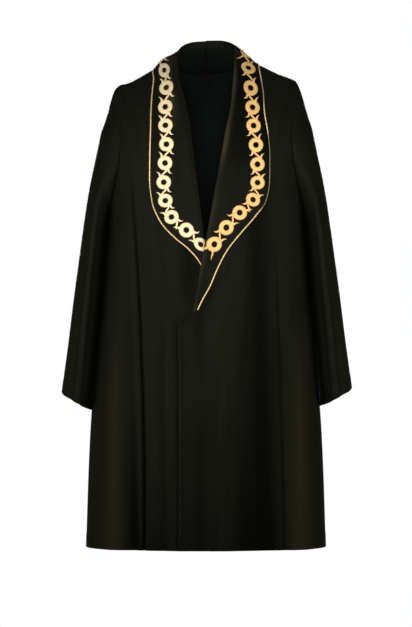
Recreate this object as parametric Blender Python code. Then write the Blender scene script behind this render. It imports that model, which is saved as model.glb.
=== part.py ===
"""Judge robe: open-fronted, black, with set-in bell sleeves and a wide shawl collar edged with gold piping.

It keeps the hollow form of a worn garment. +Z is up, the front faces -Y, and wearer's left is +X.
The origin is the middle of the neck base. Tables and sums are in millimetres; the meshes are in metres.
"""

import bpy
import numpy as np

for old in list(bpy.data.objects):
    bpy.data.objects.remove(old, do_unlink=True)

# Cloth thicknesses and the gaps between sewn pieces
CLOTH = 1.2
COLLAR_CLOTH = 1.6
SEAM_GAP = 0.6
PIPING_RADIUS = 1.6

# Sizes of the body of the robe
HEM_Z = -1123.0
ARMPIT_Z = -335.0
SHOULDER_ROUND = 200.0
SHOULDER_TILT = 0.044
SHOULDER_TIP_X = 210.0
NECK_SIDE_X = 72.0

# Height of the shoulder ridge: distance from the centre, height
SHOULDER_RIDGE = (
    (0, 25),
    (40, 22),
    (72, 16),
    (100, 9),
    (128, -1),
    (150, -12.5),
    (172, -23.5),
    (190, -31),
    (210, -40),
    (240, -62),
    (300, -110),
)

# Horizontal section of the body: height, half width, front depth, back depth, squareness
BODY_SECTION = (
    (66, 252, 116, 122, 2.8),
    (-40, 250, 122, 136, 2.8),
    (-120, 244, 130, 144, 2.8),
    (-200, 238, 135, 146, 2.8),
    (-280, 233, 138, 144, 2.7),
    (-335, 231, 139, 142, 2.6),
    (-460, 239, 140, 138, 2.4),
    (-545, 245, 141, 138, 2.35),
    (-645, 254, 143, 141, 2.3),
    (-730, 260, 144, 145, 2.3),
    (-811, 268, 146, 149, 2.25),
    (-874, 272, 147, 152, 2.2),
    (-968, 276, 149, 156, 2.2),
    (-1062, 279, 151, 160, 2.2),
    (-1123, 281, 152, 163, 2.2),
)

# Armhole edge: height, distance from the centre
ARMHOLE = (
    (-30, 212),
    (-40, 210),
    (-60, 206),
    (-90, 202),
    (-130, 199),
    (-180, 199),
    (-230, 203),
    (-270, 211),
    (-300, 220),
    (-325, 229),
    (-335, 231),
)

# Neck seam on the back: distance from the centre, how far below the shoulder ridge
NECK_DROP = ((0, 25), (28, 22.6), (52, 15.3), (66, 5.4), (72, 0), (300, 0))

# Neck and lapel edge of each front: height, distance from the centre
NECK_EDGE = {
    +1: (
        (16, 72),
        (5, 71),
        (-18, 68.5),
        (-50, 66),
        (-95, 61.5),
        (-145, 51.5),
        (-195, 42.5),
        (-250, 32.5),
        (-305, 22.5),
        (-355, 13.5),
        (-400, 5.5),
        (-440, -2.5),
        (-475, -8.5),
        (-515, -15.5),
        (-548, -20.5),
        (-573, -24),
        (-580, -34),
        (-597, -63),
        (-606, -66),
        (-1123, -66),
    ),
    -1: (
        (16, 72),
        (5, 71.5),
        (-18, 68),
        (-50, 61.5),
        (-95, 49.5),
        (-145, 40.5),
        (-195, 34.5),
        (-250, 27.5),
        (-305, 20.5),
        (-355, 14),
        (-400, 8),
        (-440, 2.5),
        (-475, -3.5),
        (-515, -10.5),
        (-548, -16.5),
        (-573, -22),
        (-580, -34),
        (-597, -63),
        (-606, -66),
        (-1123, -66),
    ),
}

# Folds: face (front -1, back +1), start x, start z, hem x, half width, height at the hem, how sharp
FOLDS = (
    (-1, -178, -290, -148, 13, -7.0, 0.5),
    (-1, -206, -560, -214, 34, 9.0, 1.2),
    (-1, -120, -640, -104, 30, 4.0, 1.0),
    (-1, 183, -420, 180, 12, -4.0, 0.8),
    (-1, 112, -690, 136, 28, -9.0, 1.3),
    (-1, 212, -600, 222, 30, 8.0, 1.2),
    (-1, 40, -640, 62, 34, 3.5, 1.0),
    (1, -196, -430, -208, 26, -8.0, 1.1),
    (1, -150, -520, -158, 24, 7.0, 1.0),
    (1, -92, -300, -101, 22, -10.0, 0.9),
    (1, -38, -380, -44, 26, 8.5, 1.1),
    (1, 14, -260, 12, 20, -9.0, 0.8),
    (1, 60, -460, 66, 24, 7.5, 1.2),
    (1, 108, -330, 119, 24, -9.5, 1.0),
    (1, 158, -560, 168, 26, 8.0, 1.2),
    (1, 203, -480, 216, 24, -6.5, 1.1),
)

# Rows of each panel as far as the armpit: height at the neck edge of a front, height at the centre back
ROWS_TO_ARMPIT = (
    (16, 0),
    (13.8, -2.2),
    (7, -8.5),
    (-4, -18),
    (-19, -31),
    (-39, -48),
    (-65, -70),
    (-98, -98),
    (-136, -130),
    (-176, -164),
    (-218, -200),
    (-258, -237),
    (-296, -275),
    (-330, -312),
    (-360, -350),
)
ROWS_BELOW = (-410, -455, -500, -540, -573, -597, -650, -715, -785, -855, -925, -995, -1064, -1123)

# The left sleeve's hem hangs a little higher than the right one's, as its shoulder does
SLEEVE_HEM_SHIFT = 5.0

# Sleeve rings: place along it, height of the outer edge, height of the inner edge, half depth, depth centre
SLEEVE_RINGS = (
    (0.00, -40, -335, 97, 0),
    (0.15, -110, -348, 103, 2),
    (0.30, -205, -378, 109, 7),
    (0.45, -315, -440, 114, 11),
    (0.60, -430, -528, 117, 16),
    (0.80, -590, -662, 120, 21),
    (1.00, -757, -799, 124, 26),
)
SLEEVE_PLACES = (0, 0.025, 0.055, 0.09, 0.135, 0.19, 0.25, 0.32, 0.4, 0.48, 0.56, 0.65, 0.74, 0.83, 0.92, 1)
SLEEVE_SKEW = 0.1
SLEEVE_WIDER = {+1: 1.0, -1: -3.0}

# Outer edge of the sleeve seen from the front: height, distance from the centre
SLEEVE_OUTER = (
    (-40, 211),
    (-52, 217),
    (-75, 224),
    (-99, 230),
    (-122, 237),
    (-146, 246),
    (-169, 251),
    (-216, 260),
    (-263, 269),
    (-310, 277),
    (-357, 284),
    (-451, 297),
    (-545, 310),
    (-639, 322),
    (-733, 335),
    (-760, 338.5),
)

# How far the inner edge of the sleeve stands off the side of the body: height, distance
SLEEVE_CLEARANCE = ((-335, 1.6), (-360, 3.5), (-440, 6), (-600, 7), (-800, 8))

# Collar at the neck: seam x, drop below the ridge, face, roll x, y, z, outer edge x, drop below the ridge
COLLAR_NECK = (
    (0, 25, 1, 0, 52, 69, 0, 42),
    (28, 22.6, 1, 27, 49, 68, 41, 35),
    (52, 15.3, 1, 47, 36, 62, 79, 23),
    (66, 5.4, 1, 59, 17, 52, 105, 9),
    (72, 0, 1, 65, -6, 38, 117, 0),
    (71, 11, -1, 66, -28, 20, 121, 14),
)

# How much further out the top of the roll stands on the wearer's left
ROLL_LEAN = 6.0

# Collar down the front: roll x, roll z, outer edge x, outer edge z
COLLAR_FRONT = {
    +1: (
        (64.5, -14, 126, -38),
        (61.5, -50, 130, -68),
        (57, -95, 132, -110),
        (47, -145, 140, -160),
        (38, -195, 144.5, -212),
        (28, -250, 144, -268),
        (18, -305, 136, -315),
        (9, -355, 111, -352),
        (1, -400, 77, -392),
        (-7, -440, 46, -432),
        (-13, -475, 25, -472),
        (-20, -515, 8, -512),
        (-25, -548, -10, -545),
        (-29, -573, -21, -568),
    ),
    -1: (
        (63, -14, 119, -34),
        (57, -50, 122, -66),
        (45, -95, 124.5, -110),
        (36, -145, 125.5, -160),
        (30, -195, 127, -212),
        (23, -250, 127.5, -266),
        (16, -305, 122, -318),
        (9.5, -355, 103, -364),
        (3.5, -400, 70, -401),
        (-2, -440, 38, -428),
        (-8, -475, 13, -458),
        (-15, -515, -3, -497),
        (-21, -548, -12, -540),
        (-27, -573, -19, -568),
    ),
}


def smooth_line(table, place):
    """Value at a place of a table whose first column is the place: cubic pieces through its rows, each row's
    slope the harmonic mean of the two chords beside it, or level where they turn, so nothing overshoots."""
    rows = np.array(table, float)
    rows = rows[np.argsort(rows[:, 0])]
    keys = rows[:, 0]
    values = rows[:, 1:]
    chords = np.diff(values, axis=0) / np.diff(keys)[:, None]
    product = chords[1:] * chords[:-1]
    total = chords[1:] + chords[:-1]
    inner = np.where(product > 0, 2 * product / np.where(product > 0, total, 1), 0)
    slopes = np.vstack([chords[:1], inner, chords[-1:]])
    place = np.clip(np.asarray(place, float), keys[0], keys[-1])
    k = np.clip(np.searchsorted(keys, place) - 1, 0, len(keys) - 2)
    step = (keys[k + 1] - keys[k])[..., None]
    f = (place - keys[k])[..., None] / step
    found = values[k] * (1 + 2 * f) * (1 - f) ** 2 + slopes[k] * step * f * (1 - f) ** 2
    found = found + values[k + 1] * f**2 * (3 - 2 * f) - slopes[k + 1] * step * f**2 * (1 - f)
    return found[..., 0] if values.shape[1] == 1 else found


def ease(value, start, end):
    """0 before the start, 1 after the end, and a smooth step between them."""
    f = np.clip((np.asarray(value, float) - start) / (end - start), 0, 1)
    return f * f * (3 - 2 * f)


def ridge_z(x):
    """Height of the shoulder ridge at x, wearer's left a little higher."""
    return smooth_line(SHOULDER_RIDGE, np.abs(x)) + SHOULDER_TILT * np.asarray(x, float)


def half_width(z):
    return smooth_line(BODY_SECTION, z)[..., 0]


def body_y(x, z, face):
    """Depth coordinate of the cloth: a squared oval in plan, rounded over at the shoulder ridge."""
    section = smooth_line(BODY_SECTION, z)
    depth = section[..., 1] if face < 0 else section[..., 2]
    power = section[..., 3]
    across = np.clip(np.abs(x) / section[..., 0], 0, 1)
    oval = (1 - across**power) ** (1 / power)
    below = np.clip((ridge_z(x) - z) / SHOULDER_ROUND, 0, 1)
    return face * depth * oval * np.sqrt(1 - (1 - below) ** 2)


def on_body(x, z, face):
    x, z = np.broadcast_arrays(np.asarray(x, float), np.asarray(z, float))
    return np.stack([x, body_y(x, z, face), z], axis=-1)


def outside(points):
    """Signed distance from the body's surface, and the direction out of it.

    The oval and the shoulder's round are one sum of squares, divided by the length of its gradient.
    """

    def level(p):
        face_depth = np.where(p[..., 1] < 0, 1, 2)
        section = smooth_line(BODY_SECTION, p[..., 2])
        depth = np.take_along_axis(section, face_depth[..., None], -1)[..., 0]
        power = section[..., 3]
        across = np.clip(np.abs(p[..., 0]) / section[..., 0], 0, 0.97)
        oval = (1 - across**power) ** (1 / power)
        rise = np.maximum(1 - (ridge_z(p[..., 0]) - p[..., 2]) / SHOULDER_ROUND, 0)
        return (p[..., 1] / (depth * oval)) ** 2 + rise**2 - 1

    gradient = np.stack([level(points + step) - level(points - step) for step in np.eye(3)], axis=-1) / 2
    length = np.linalg.norm(gradient, axis=-1)
    return level(points) / length, gradient / length[..., None]


def at_height(points, height):
    """The points moved straight in or out until they stand at this height over the body's surface."""
    for _ in range(6):
        distance, out = outside(points)
        points = points + (height - distance)[..., None] * out
    return points


def at_least(points, height):
    """The points moved out only where they are nearer to the body's surface than this height."""
    for _ in range(6):
        distance, out = outside(points)
        points = points + np.maximum(height - distance, 0)[..., None] * out
    return points


def layer_height(x, z):
    """How far the left front stands over the right one: most where it crosses the other collar half."""
    near_edge = 1 - ease(x, 70, 190)
    at_crossing = 9.6 * ease(z, -235, -395)
    below_tip = 6.2 * ease(z, -590, -760)
    return near_edge * (at_crossing - below_tip)


def fold_height(x, z, face):
    """Sum of the folds: each a soft rib or trough along its own leaning line, growing towards the hem."""
    total = np.zeros(np.shape(x))
    for side, start_x, start_z, hem_x, width, height, growth in FOLDS:
        if side != face:
            continue
        down = np.clip((start_z - z) / (start_z - HEM_Z), 0, 1)
        middle = start_x + (hem_x - start_x) * down
        total = total + height * down**growth * np.exp(-(((x - middle) / width) ** 2))
    return total


def grid_normals(points, round_tube=False):
    """Unit normals of a grid of points, from the differences between neighbours."""
    down = np.gradient(points, axis=0)
    if round_tube:
        along = (np.roll(points, -1, axis=1) - np.roll(points, 1, axis=1)) / 2
    else:
        along = np.gradient(points, axis=1)
    normals = np.cross(down, along)
    return normals / np.linalg.norm(normals, axis=-1, keepdims=True)


def wall(name, points, normals, thickness, material, round_tube=False):
    """Closed cloth wall: the grid moved out and in by half the thickness, with its edges joined."""
    rows, columns = points.shape[:2]
    ring = np.arange(rows * columns).reshape(rows, columns)
    if round_tube:
        ring = np.hstack([ring, ring[:, :1]])
    under = ring + rows * columns
    quads = [
        np.stack([ring[:-1, :-1], ring[:-1, 1:], ring[1:, 1:], ring[1:, :-1]], -1).reshape(-1, 4),
        np.stack([under[:-1, :-1], under[1:, :-1], under[1:, 1:], under[:-1, 1:]], -1).reshape(-1, 4),
        np.stack([ring[0, 1:], ring[0, :-1], under[0, :-1], under[0, 1:]], -1),
        np.stack([ring[-1, :-1], ring[-1, 1:], under[-1, 1:], under[-1, :-1]], -1),
    ]
    if not round_tube:
        quads.append(np.stack([ring[:-1, 0], ring[1:, 0], under[1:, 0], under[:-1, 0]], -1))
        quads.append(np.stack([ring[1:, -1], ring[:-1, -1], under[:-1, -1], under[1:, -1]], -1))
    half = normals * thickness / 2
    corners = np.concatenate([(points + half).reshape(-1, 3), (points - half).reshape(-1, 3)])
    return add_object(name, corners, np.concatenate(quads), material)


def add_object(name, corners, quads, material):
    """Mesh object from corner points in millimetres, faces turned outwards and shaded smooth."""
    a, b, c, d = (corners[quads[:, i]] for i in range(4))
    volume = np.einsum("ij,ij->", a, np.cross(b, c)) + np.einsum("ij,ij->", a, np.cross(c, d))
    if volume < 0:
        quads = quads[:, ::-1]
    mesh = bpy.data.meshes.new(name)
    mesh.from_pydata((corners / 1000).tolist(), [], quads.tolist())
    mesh.polygons.foreach_set("use_smooth", [True] * len(quads))
    mesh.materials.append(material)
    mesh.update()
    obj = bpy.data.objects.new(name, mesh)
    bpy.context.scene.collection.objects.link(obj)
    return obj


def cloth_material(name, colour, roughness, metallic):
    material = bpy.data.materials.new(name)
    material.use_nodes = True
    shader = material.node_tree.nodes["Principled BSDF"]
    shader.inputs["Base Color"].default_value = (*colour, 1)
    shader.inputs["Roughness"].default_value = roughness
    shader.inputs["Metallic"].default_value = metallic
    return material


BODY_CLOTH = cloth_material("black_cloth", (0.012, 0.012, 0.009), 0.8, 0)
COLLAR_FACE = cloth_material("black_collar_face", (0.014, 0.013, 0.010), 0.55, 0)
GOLD_CORD = cloth_material("gold_piping", (0.75, 0.55, 0.25), 0.4, 0.5)


def row_heights(side):
    """Heights of the panel rows at both edges, and how much of the shoulder's slope each row has."""
    upper = np.array(ROWS_TO_ARMPIT, float)[:, 0 if side else 1]
    steps = np.arange(len(upper)) / (len(upper) - 1)
    middle = (ARMPIT_Z - 40) / 2
    outer = middle - (ARMPIT_Z + 40) / 2 * np.cos(np.pi * steps)
    inner = np.concatenate([upper, ROWS_BELOW])
    outer = np.concatenate([outer, ROWS_BELOW])
    slope = np.concatenate([(1 - steps**2) ** 2, np.zeros(len(ROWS_BELOW))])
    return inner, outer, slope


def half_panel(face, side, places):
    """One half of the back or one front: rows from the neck edge or centre line to the armhole and side seam.

    Along a row the angle round the oval goes evenly from edge to edge. Each point's height is the mean of
    the row's two ends, and near the shoulder the row also bends as the ridge does.
    """
    inner_z, outer_z, slope = row_heights(side if face < 0 else 0)
    to_armpit = len(ROWS_TO_ARMPIT)
    outer_x = half_width(outer_z)
    outer_x[:to_armpit] = smooth_line(ARMHOLE, outer_z[:to_armpit])
    tilt = SHOULDER_TILT * side * slope
    outer_z = outer_z + tilt * outer_x
    if face < 0:
        inner_x = smooth_line(NECK_EDGE[side], inner_z)
        inner_z = inner_z + tilt * inner_x
        inner_z[0] = ridge_z(side * inner_x[0])
    else:
        inner_x = np.zeros(len(inner_z))
    outer_z[0] = ridge_z(side * outer_x[0])
    width = np.maximum(half_width(outer_z), outer_x)
    start = np.arcsin(np.clip(inner_x / width, -1, 1))
    end = np.arcsin(np.clip(outer_x / width, -1, 1))
    angle = start[:, None] + (end - start)[:, None] * places[None, :]
    x = width[:, None] * np.sin(angle)
    z = inner_z[:, None] + (outer_z - inner_z)[:, None] * places[None, :]
    top = ridge_z(side * x[0])
    if face > 0:
        top = top - smooth_line(NECK_DROP, x[0])
    bend = top - (top[0] + (top[-1] - top[0]) * places)
    z = z + slope[:, None] * bend[None, :]
    y = body_y(side * x, z, face)
    y = face * np.maximum(face * y, SEAM_GAP / 2)
    return np.stack([side * x, y, z], axis=-1)


def panel_wall(name, points, face, side_columns, armpit_row, height):
    """Panel as a cloth wall: folds and layer height added along its normals, seam edges kept square."""
    normals = grid_normals(points)
    if (normals[..., 1] * face).sum() < 0:
        normals = -normals
    shoulder = np.abs(points[0, :, 1]) < SEAM_GAP
    normals[0, shoulder, 1] = 0
    for column in side_columns:
        normals[armpit_row:, column, 1:] = 0
    normals = normals / np.linalg.norm(normals, axis=-1, keepdims=True)
    lift = fold_height(points[..., 0], points[..., 2], face) + height
    for column in side_columns:
        lift[:, column] = 0
    points = points + normals * lift[..., None]
    wall(name, points, normals, CLOTH, BODY_CLOTH)
    return points


# Back: one piece from armhole to armhole
neck_share = np.arcsin(NECK_SIDE_X / 250) / np.arcsin(SHOULDER_TIP_X / 250)
neck_places = neck_share * np.array([0, 0.27, 0.49, 0.66, 0.79, 0.885, 0.955, 1])
back_places = np.concatenate([neck_places, np.linspace(neck_share, 1, 9)[1:]])
ARMPIT_ROW = len(ROWS_TO_ARMPIT) - 1
back_left = half_panel(+1, +1, back_places)
back_right = half_panel(+1, -1, back_places)
back_grid = np.concatenate([back_right[:, :0:-1], back_left], axis=1)
back_grid = panel_wall("back", back_grid, +1, (0, -1), ARMPIT_ROW, 0)

# Fronts: the left one laps over the right one
front_places = np.linspace(0, 1, 18)
front_left = half_panel(-1, +1, front_places)
over = layer_height(front_left[..., 0], front_left[..., 2])
front_left = panel_wall("front_left", front_left, -1, (-1,), ARMPIT_ROW, over)
front_right = half_panel(-1, -1, front_places)
front_right = panel_wall("front_right", front_right, -1, (-1,), ARMPIT_ROW, 0)


def sleeve_grid(side, front, back_edge):
    """Sleeve rings from the armhole to the slanted hem.

    Each ring is an oval whose long way runs front to back. Its outer point follows the sleeve's outline
    and its inner point the side of the body. Near the armhole the rings turn into the armhole's own edge.
    """
    rings = smooth_line(SLEEVE_RINGS, SLEEVE_PLACES)
    outer_z, inner_z, depth, centre_y = (rings[:, i][:, None] for i in range(4))
    outer_x = smooth_line(SLEEVE_OUTER, outer_z) + SLEEVE_WIDER[side]
    inner_x = half_width(inner_z) + smooth_line(SLEEVE_CLEARANCE, inner_z)
    place = np.array(SLEEVE_PLACES)[:, None]
    outer_z = outer_z + side * SLEEVE_HEM_SHIFT * place
    inner_z = inner_z + side * SLEEVE_HEM_SHIFT * place
    edge = np.concatenate([front[: ARMPIT_ROW + 1, -1], back_edge[ARMPIT_ROW - 1 : 0 : -1]])
    edge[0, 1] = 0
    edge[ARMPIT_ROW, 1] = 0
    turn = np.pi * np.arange(2 * ARMPIT_ROW)[None, :] / ARMPIT_ROW
    skew = SLEEVE_SKEW * ease(place, 0, 0.45)
    x = (outer_x + inner_x) / 2 + (outer_x - inner_x) / 2 * np.cos(turn) + skew * depth * np.sin(turn)
    y = centre_y - depth * np.sin(turn)
    inwards = (outer_x - x) / (outer_x - inner_x)
    flat = (outer_z + inner_z) / 2 + (outer_z - inner_z) / 2 * np.cos(turn)
    level = outer_z + (inner_z - outer_z) * inwards
    z = flat + (level - flat) * ease(place, 0.3, 0.75)
    points = np.stack([side * x, y, z], axis=-1)
    start = edge + np.array([side * 1.7, 0, 0])
    hold = 1 - ease(place, 0, 0.38)
    return points + (start - points[0])[None] * hold[..., None]


sleeve_edges = {
    +1: ("sleeve_left", front_left, back_grid[:, -1]),
    -1: ("sleeve_right", front_right, back_grid[:, 0]),
}
for side, (sleeve_name, front, back_edge) in sleeve_edges.items():
    sleeve = sleeve_grid(side, front, back_edge)
    wall(sleeve_name, sleeve, grid_normals(sleeve, True), CLOTH, BODY_CLOTH, True)


def collar_lines(side):
    """Three lines of a collar half from centre back to lapel tip: panel edge, roll and outer edge."""
    neck = np.array(COLLAR_NECK, float)
    front = np.array(COLLAR_FRONT[side], float)
    edge = [on_body(side * r[0], ridge_z(side * r[0]) - r[1], r[2]) for r in neck]
    lean = [ROLL_LEAN * ease(r[5], 20, 60) * r[3] / 60 * max(side, 0) for r in neck]
    roll = [(side * (r[3] + more), r[4], r[5] + SHOULDER_TILT * side * r[3]) for r, more in zip(neck, lean)]
    outer = [on_body(side * r[6], ridge_z(side * r[6]) - r[7], r[2]) for r in neck]
    edge_x = smooth_line(NECK_EDGE[side], front[:, 1])
    edge = np.concatenate([edge, on_body(side * edge_x, front[:, 1], -1)])
    roll = np.concatenate([roll, on_body(side * front[:, 0], front[:, 1], -1)])
    outer = np.concatenate([outer, on_body(side * front[:, 2], front[:, 3], -1)])
    return edge, roll, outer


def along(line, count):
    """The line through its points, read at evenly numbered places."""
    keys = np.arange(len(line), dtype=float)
    table = np.concatenate([keys[:, None], line], axis=1)
    return smooth_line(table, np.linspace(0, len(line) - 1, count))


def collar_grid(side, count):
    """Collar half: return inside the neck edge, stand, roll, fall, outer edge, over the panels' surface.

    Across it goes from inside the neck edge up to the roll and out to the outer edge. Down the front the
    stand shrinks to nothing and the fall follows the panel, a little proud of it.
    """
    edge, roll, outer = (along(line, count) for line in collar_lines(side))
    front_share = ease(np.linspace(0, 19, count), 4.2, 7.2)[:, None]
    away = outer - edge
    away = away / np.linalg.norm(away, axis=-1, keepdims=True)
    reach = np.minimum(11, np.linalg.norm(outer - edge, axis=-1, keepdims=True) * 0.8)
    inside_end = at_height(edge + away * reach, -3.3)
    inside_edge = at_height(edge + away * (0.5 - 3.2 * (1 - front_share)), -3.3)
    stand_middle = (inside_edge + roll) / 2
    apex = roll * (1 - front_share) + at_height(roll, 0.6) * front_share
    stand_middle = stand_middle * (1 - front_share) + front_share * (inside_edge * 0.4 + apex * 0.6)
    rows = [inside_end, inside_edge, stand_middle, apex]
    far = at_height(outer, 3.2)
    for share in (0.05, 0.2, 0.38, 0.56, 0.78, 1):
        straight = apex + (far - apex) * share
        straight[:, 2] = straight[:, 2] + (1 - front_share[:, 0]) * 30 * share * (1 - share) ** 2
        laid = at_height(edge + (outer - edge) * share, 3.8 - 0.6 * share)
        low = straight * (1 - front_share) + laid * front_share
        rows.append(at_least(low, 3.8 - 0.6 * share))
    points = np.stack(rows, axis=1)
    if side > 0:
        lift = layer_height(points[..., 0], points[..., 2]) * (points[..., 1] < 0)
        points = points - lift[..., None] * np.array([0, 1, 0])
    points[0, :, 0] = side * SEAM_GAP / 2
    return points


def cord(name, path, radius, sides, material):
    """Round cord: a ring of points square to the path at each place, and a flat face at both ends."""
    heading = np.gradient(path, axis=0)
    heading = heading / np.linalg.norm(heading, axis=-1, keepdims=True)
    across = np.cross(heading, np.array([0.3, 1.0, 0.2]))
    across = across / np.linalg.norm(across, axis=-1, keepdims=True)
    other = np.cross(heading, across)
    turn = 2 * np.pi * np.arange(sides)[None, :, None] / sides
    points = path[:, None] + radius * (np.cos(turn) * across[:, None] + np.sin(turn) * other[:, None])
    ring = np.arange(points.shape[0] * sides).reshape(-1, sides)
    wrapped = np.hstack([ring, ring[:, :1]])
    a, b, c, d = wrapped[:-1, :-1], wrapped[:-1, 1:], wrapped[1:, 1:], wrapped[1:, :-1]
    quads = np.stack([a, b, c, d], -1).reshape(-1, 4)
    half = sides // 2
    ends = []
    for end in (ring[0, ::-1], ring[-1]):
        ends += [[end[i], end[i + 1], end[sides - 2 - i], end[sides - 1 - i]] for i in range(half - 1)]
    add_object(name, points.reshape(-1, 3), np.concatenate([quads, np.array(ends)]), material)


# Collar halves and the piping along their outer edges
COLLAR_ROWS = 39
for side, tail in ((+1, "left"), (-1, "right")):
    collar = collar_grid(side, COLLAR_ROWS)
    normals = grid_normals(collar)
    normals = normals * np.sign((normals[:, -1, 1] * collar[:, -1, 1]).sum())
    normals[0, :, 0] = 0
    normals = normals / np.linalg.norm(normals, axis=-1, keepdims=True)
    wall("collar_" + tail, collar, normals, COLLAR_CLOTH, COLLAR_FACE)
    heading = np.gradient(collar[:, -1], axis=0)
    heading = heading / np.linalg.norm(heading, axis=-1, keepdims=True)
    beyond = collar[:, -1] - collar[:, -2]
    beyond = beyond - (beyond * heading).sum(axis=-1, keepdims=True) * heading
    beyond = beyond / np.linalg.norm(beyond, axis=-1, keepdims=True)
    path = collar[:, -1] + beyond * (PIPING_RADIUS + 0.5) + 0.4 * normals[:, -1]
    path[0, 0] = side * SEAM_GAP / 2
    cord("piping_" + tail, path, PIPING_RADIUS, 6, GOLD_CORD)
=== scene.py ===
"""Looks of an open-fronted black judge robe: crepe body and sleeves, shawl collar, gold piping, ring border.

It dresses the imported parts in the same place. +Z is up, the front faces -Y, and wearer's left is +X.
Tables and sums are in millimetres, as for cutting cloth; the meshes are in metres.
"""

import math

import bpy
import numpy as np
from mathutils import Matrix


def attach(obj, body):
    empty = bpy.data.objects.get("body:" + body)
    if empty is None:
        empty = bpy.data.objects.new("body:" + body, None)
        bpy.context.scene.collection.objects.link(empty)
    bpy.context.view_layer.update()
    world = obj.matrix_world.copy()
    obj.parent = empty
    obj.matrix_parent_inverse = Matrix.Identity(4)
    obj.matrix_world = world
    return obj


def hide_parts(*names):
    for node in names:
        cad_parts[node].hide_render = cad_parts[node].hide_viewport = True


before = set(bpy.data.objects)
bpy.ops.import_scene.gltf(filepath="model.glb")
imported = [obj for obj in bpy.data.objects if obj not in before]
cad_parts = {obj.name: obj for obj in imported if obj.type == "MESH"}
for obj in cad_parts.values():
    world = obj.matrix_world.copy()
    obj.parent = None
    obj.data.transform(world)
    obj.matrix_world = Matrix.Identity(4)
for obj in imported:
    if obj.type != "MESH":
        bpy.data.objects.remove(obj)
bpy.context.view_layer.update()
scene = bpy.context.scene

# Camera: the photograph is taken straight from the front, from far enough away for nearly level lines.
# Its whole height shows 1.47 m at the robe's own depth.
VIEW_DISTANCE = 7.0
VIEW_HEIGHT = 1.4735
VIEW_MIDDLE_Z = -0.577
FILM_SIDE = 36.0
camera_data = bpy.data.cameras.new("photo_camera")
camera_data.sensor_width = FILM_SIDE
camera_data.lens = FILM_SIDE * VIEW_DISTANCE / VIEW_HEIGHT
camera = bpy.data.objects.new("photo_camera", camera_data)
camera.location = (0, -VIEW_DISTANCE, VIEW_MIDDLE_Z)
camera.rotation_euler = (math.pi / 2, 0, 0)
scene.collection.objects.link(camera)
scene.camera = camera

# Back of the robe: one width of soft black crepe from armhole to armhole. It hangs from the shoulder seams
# in long cones, and its hem is turned up inside.
CREPE = 1.2
SEAM_GAP = 0.6
HEM_Z = -1123.0
HEM_TURN = 32.0
HEM_LINE = 0.25
HEM_LINE_REACH = 1.6
SEAM_DITCH = 0.5
DITCH_REACH = 3.5
FLAT_BESIDE_SEAM = 14.0
ARMPIT_Z = -335.0
SHOULDER_ROUND = 200.0
SHOULDER_TILT = 0.044
SHOULDER_TIP_X = 210.0
NECK_SIDE_X = 72.0
SHOULDER_HALF = 250.0
ROW_STEP = 5.0

# Small peak of the ridge over the wearer's right sleeve head: place, width, height
RIDGE_PEAK = (-202, 12, 5)

# Spacing of the rows below the armpit: down to this height, this far apart
LOWER_STEPS = ((-560, 7.5), (-616, 2.8), (-1080, 8), (-1123, 4))

# Height of the shoulder ridge: distance from the centre, height
SHOULDER_RIDGE = (
    (0, 25), (40, 22), (72, 16), (100, 9), (128, -1), (150, -12.5), (172, -23.5), (190, -31), (210, -40),
    (240, -62), (300, -110),
)

# Level section through the body: height, half width, front depth, back depth, squareness
BODY_SECTION = (
    (66, 252, 116, 122, 2.8),
    (-40, 250, 122, 136, 2.8),
    (-120, 244, 130, 144, 2.8),
    (-200, 238, 135, 146, 2.8),
    (-280, 233, 138, 144, 2.7),
    (-335, 231, 139, 142, 2.6),
    (-460, 239, 140, 138, 2.4),
    (-545, 245, 141, 138, 2.35),
    (-645, 254, 143, 141, 2.3),
    (-730, 260, 144, 145, 2.3),
    (-811, 268, 146, 149, 2.25),
    (-874, 272, 147, 152, 2.2),
    (-968, 276, 149, 156, 2.2),
    (-1062, 279, 151, 160, 2.2),
    (-1123, 281, 152, 163, 2.2),
)

# Armhole edge: height, distance from the centre
ARMHOLE = (
    (-30, 212), (-40, 210), (-60, 206), (-90, 202), (-130, 199), (-180, 199), (-230, 203), (-270, 211),
    (-300, 220), (-325, 229), (-335, 231),
)

# Neck seam on the back: distance from the centre, how far below the shoulder ridge
NECK_DROP = ((0, 25), (28, 22.6), (52, 15.3), (66, 5.4), (72, 0), (300, 0))

# Rows of a panel: number, height at the neck edge of a front, height at the centre back
PANEL_ROWS = (
    (0, 16, 0), (1, 13.8, -2.2), (2, 7, -8.5), (3, -4, -18), (4, -19, -31), (5, -39, -48), (6, -65, -70),
    (7, -98, -98), (8, -136, -130), (9, -176, -164), (10, -218, -200), (11, -258, -237), (12, -296, -275),
    (13, -330, -312), (14, -360, -350),
)
ARMPIT_ROW = 14

# Folds of the back: start x, start z, end x, end z, bow, half width, height, how late they grow
BACK_FOLDS = (
    (-196, -430, -208, -1123, 6, 24, -8, 1.1),
    (-150, -520, -158, -1123, -5, 22, 7, 1),
    (-118, -150, -126, -820, 3, 13, -2.6, 0.6),
    (-92, -300, -101, -1123, 5, 20, -10, 0.9),
    (-64, -230, -70, -1123, -4, 13, 3.2, 0.8),
    (-38, -380, -44, -1123, 3, 24, 8.5, 1.1),
    (14, -260, 12, -1123, -6, 19, -9, 0.8),
    (35, -180, 40, -760, 4, 12, 2.4, 0.7),
    (60, -460, 66, -1123, 5, 22, 7.5, 1.2),
    (84, -640, 92, -1123, 0, 11, 2.8, 1),
    (108, -330, 119, -1123, -5, 22, -9.5, 1),
    (158, -560, 168, -1123, 4, 24, 8, 1.2),
    (182, -140, 172, -560, 0, 14, -2.2, 0.7),
    (203, -480, 216, -1123, 5, 22, -6.5, 1.1),
)


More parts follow.
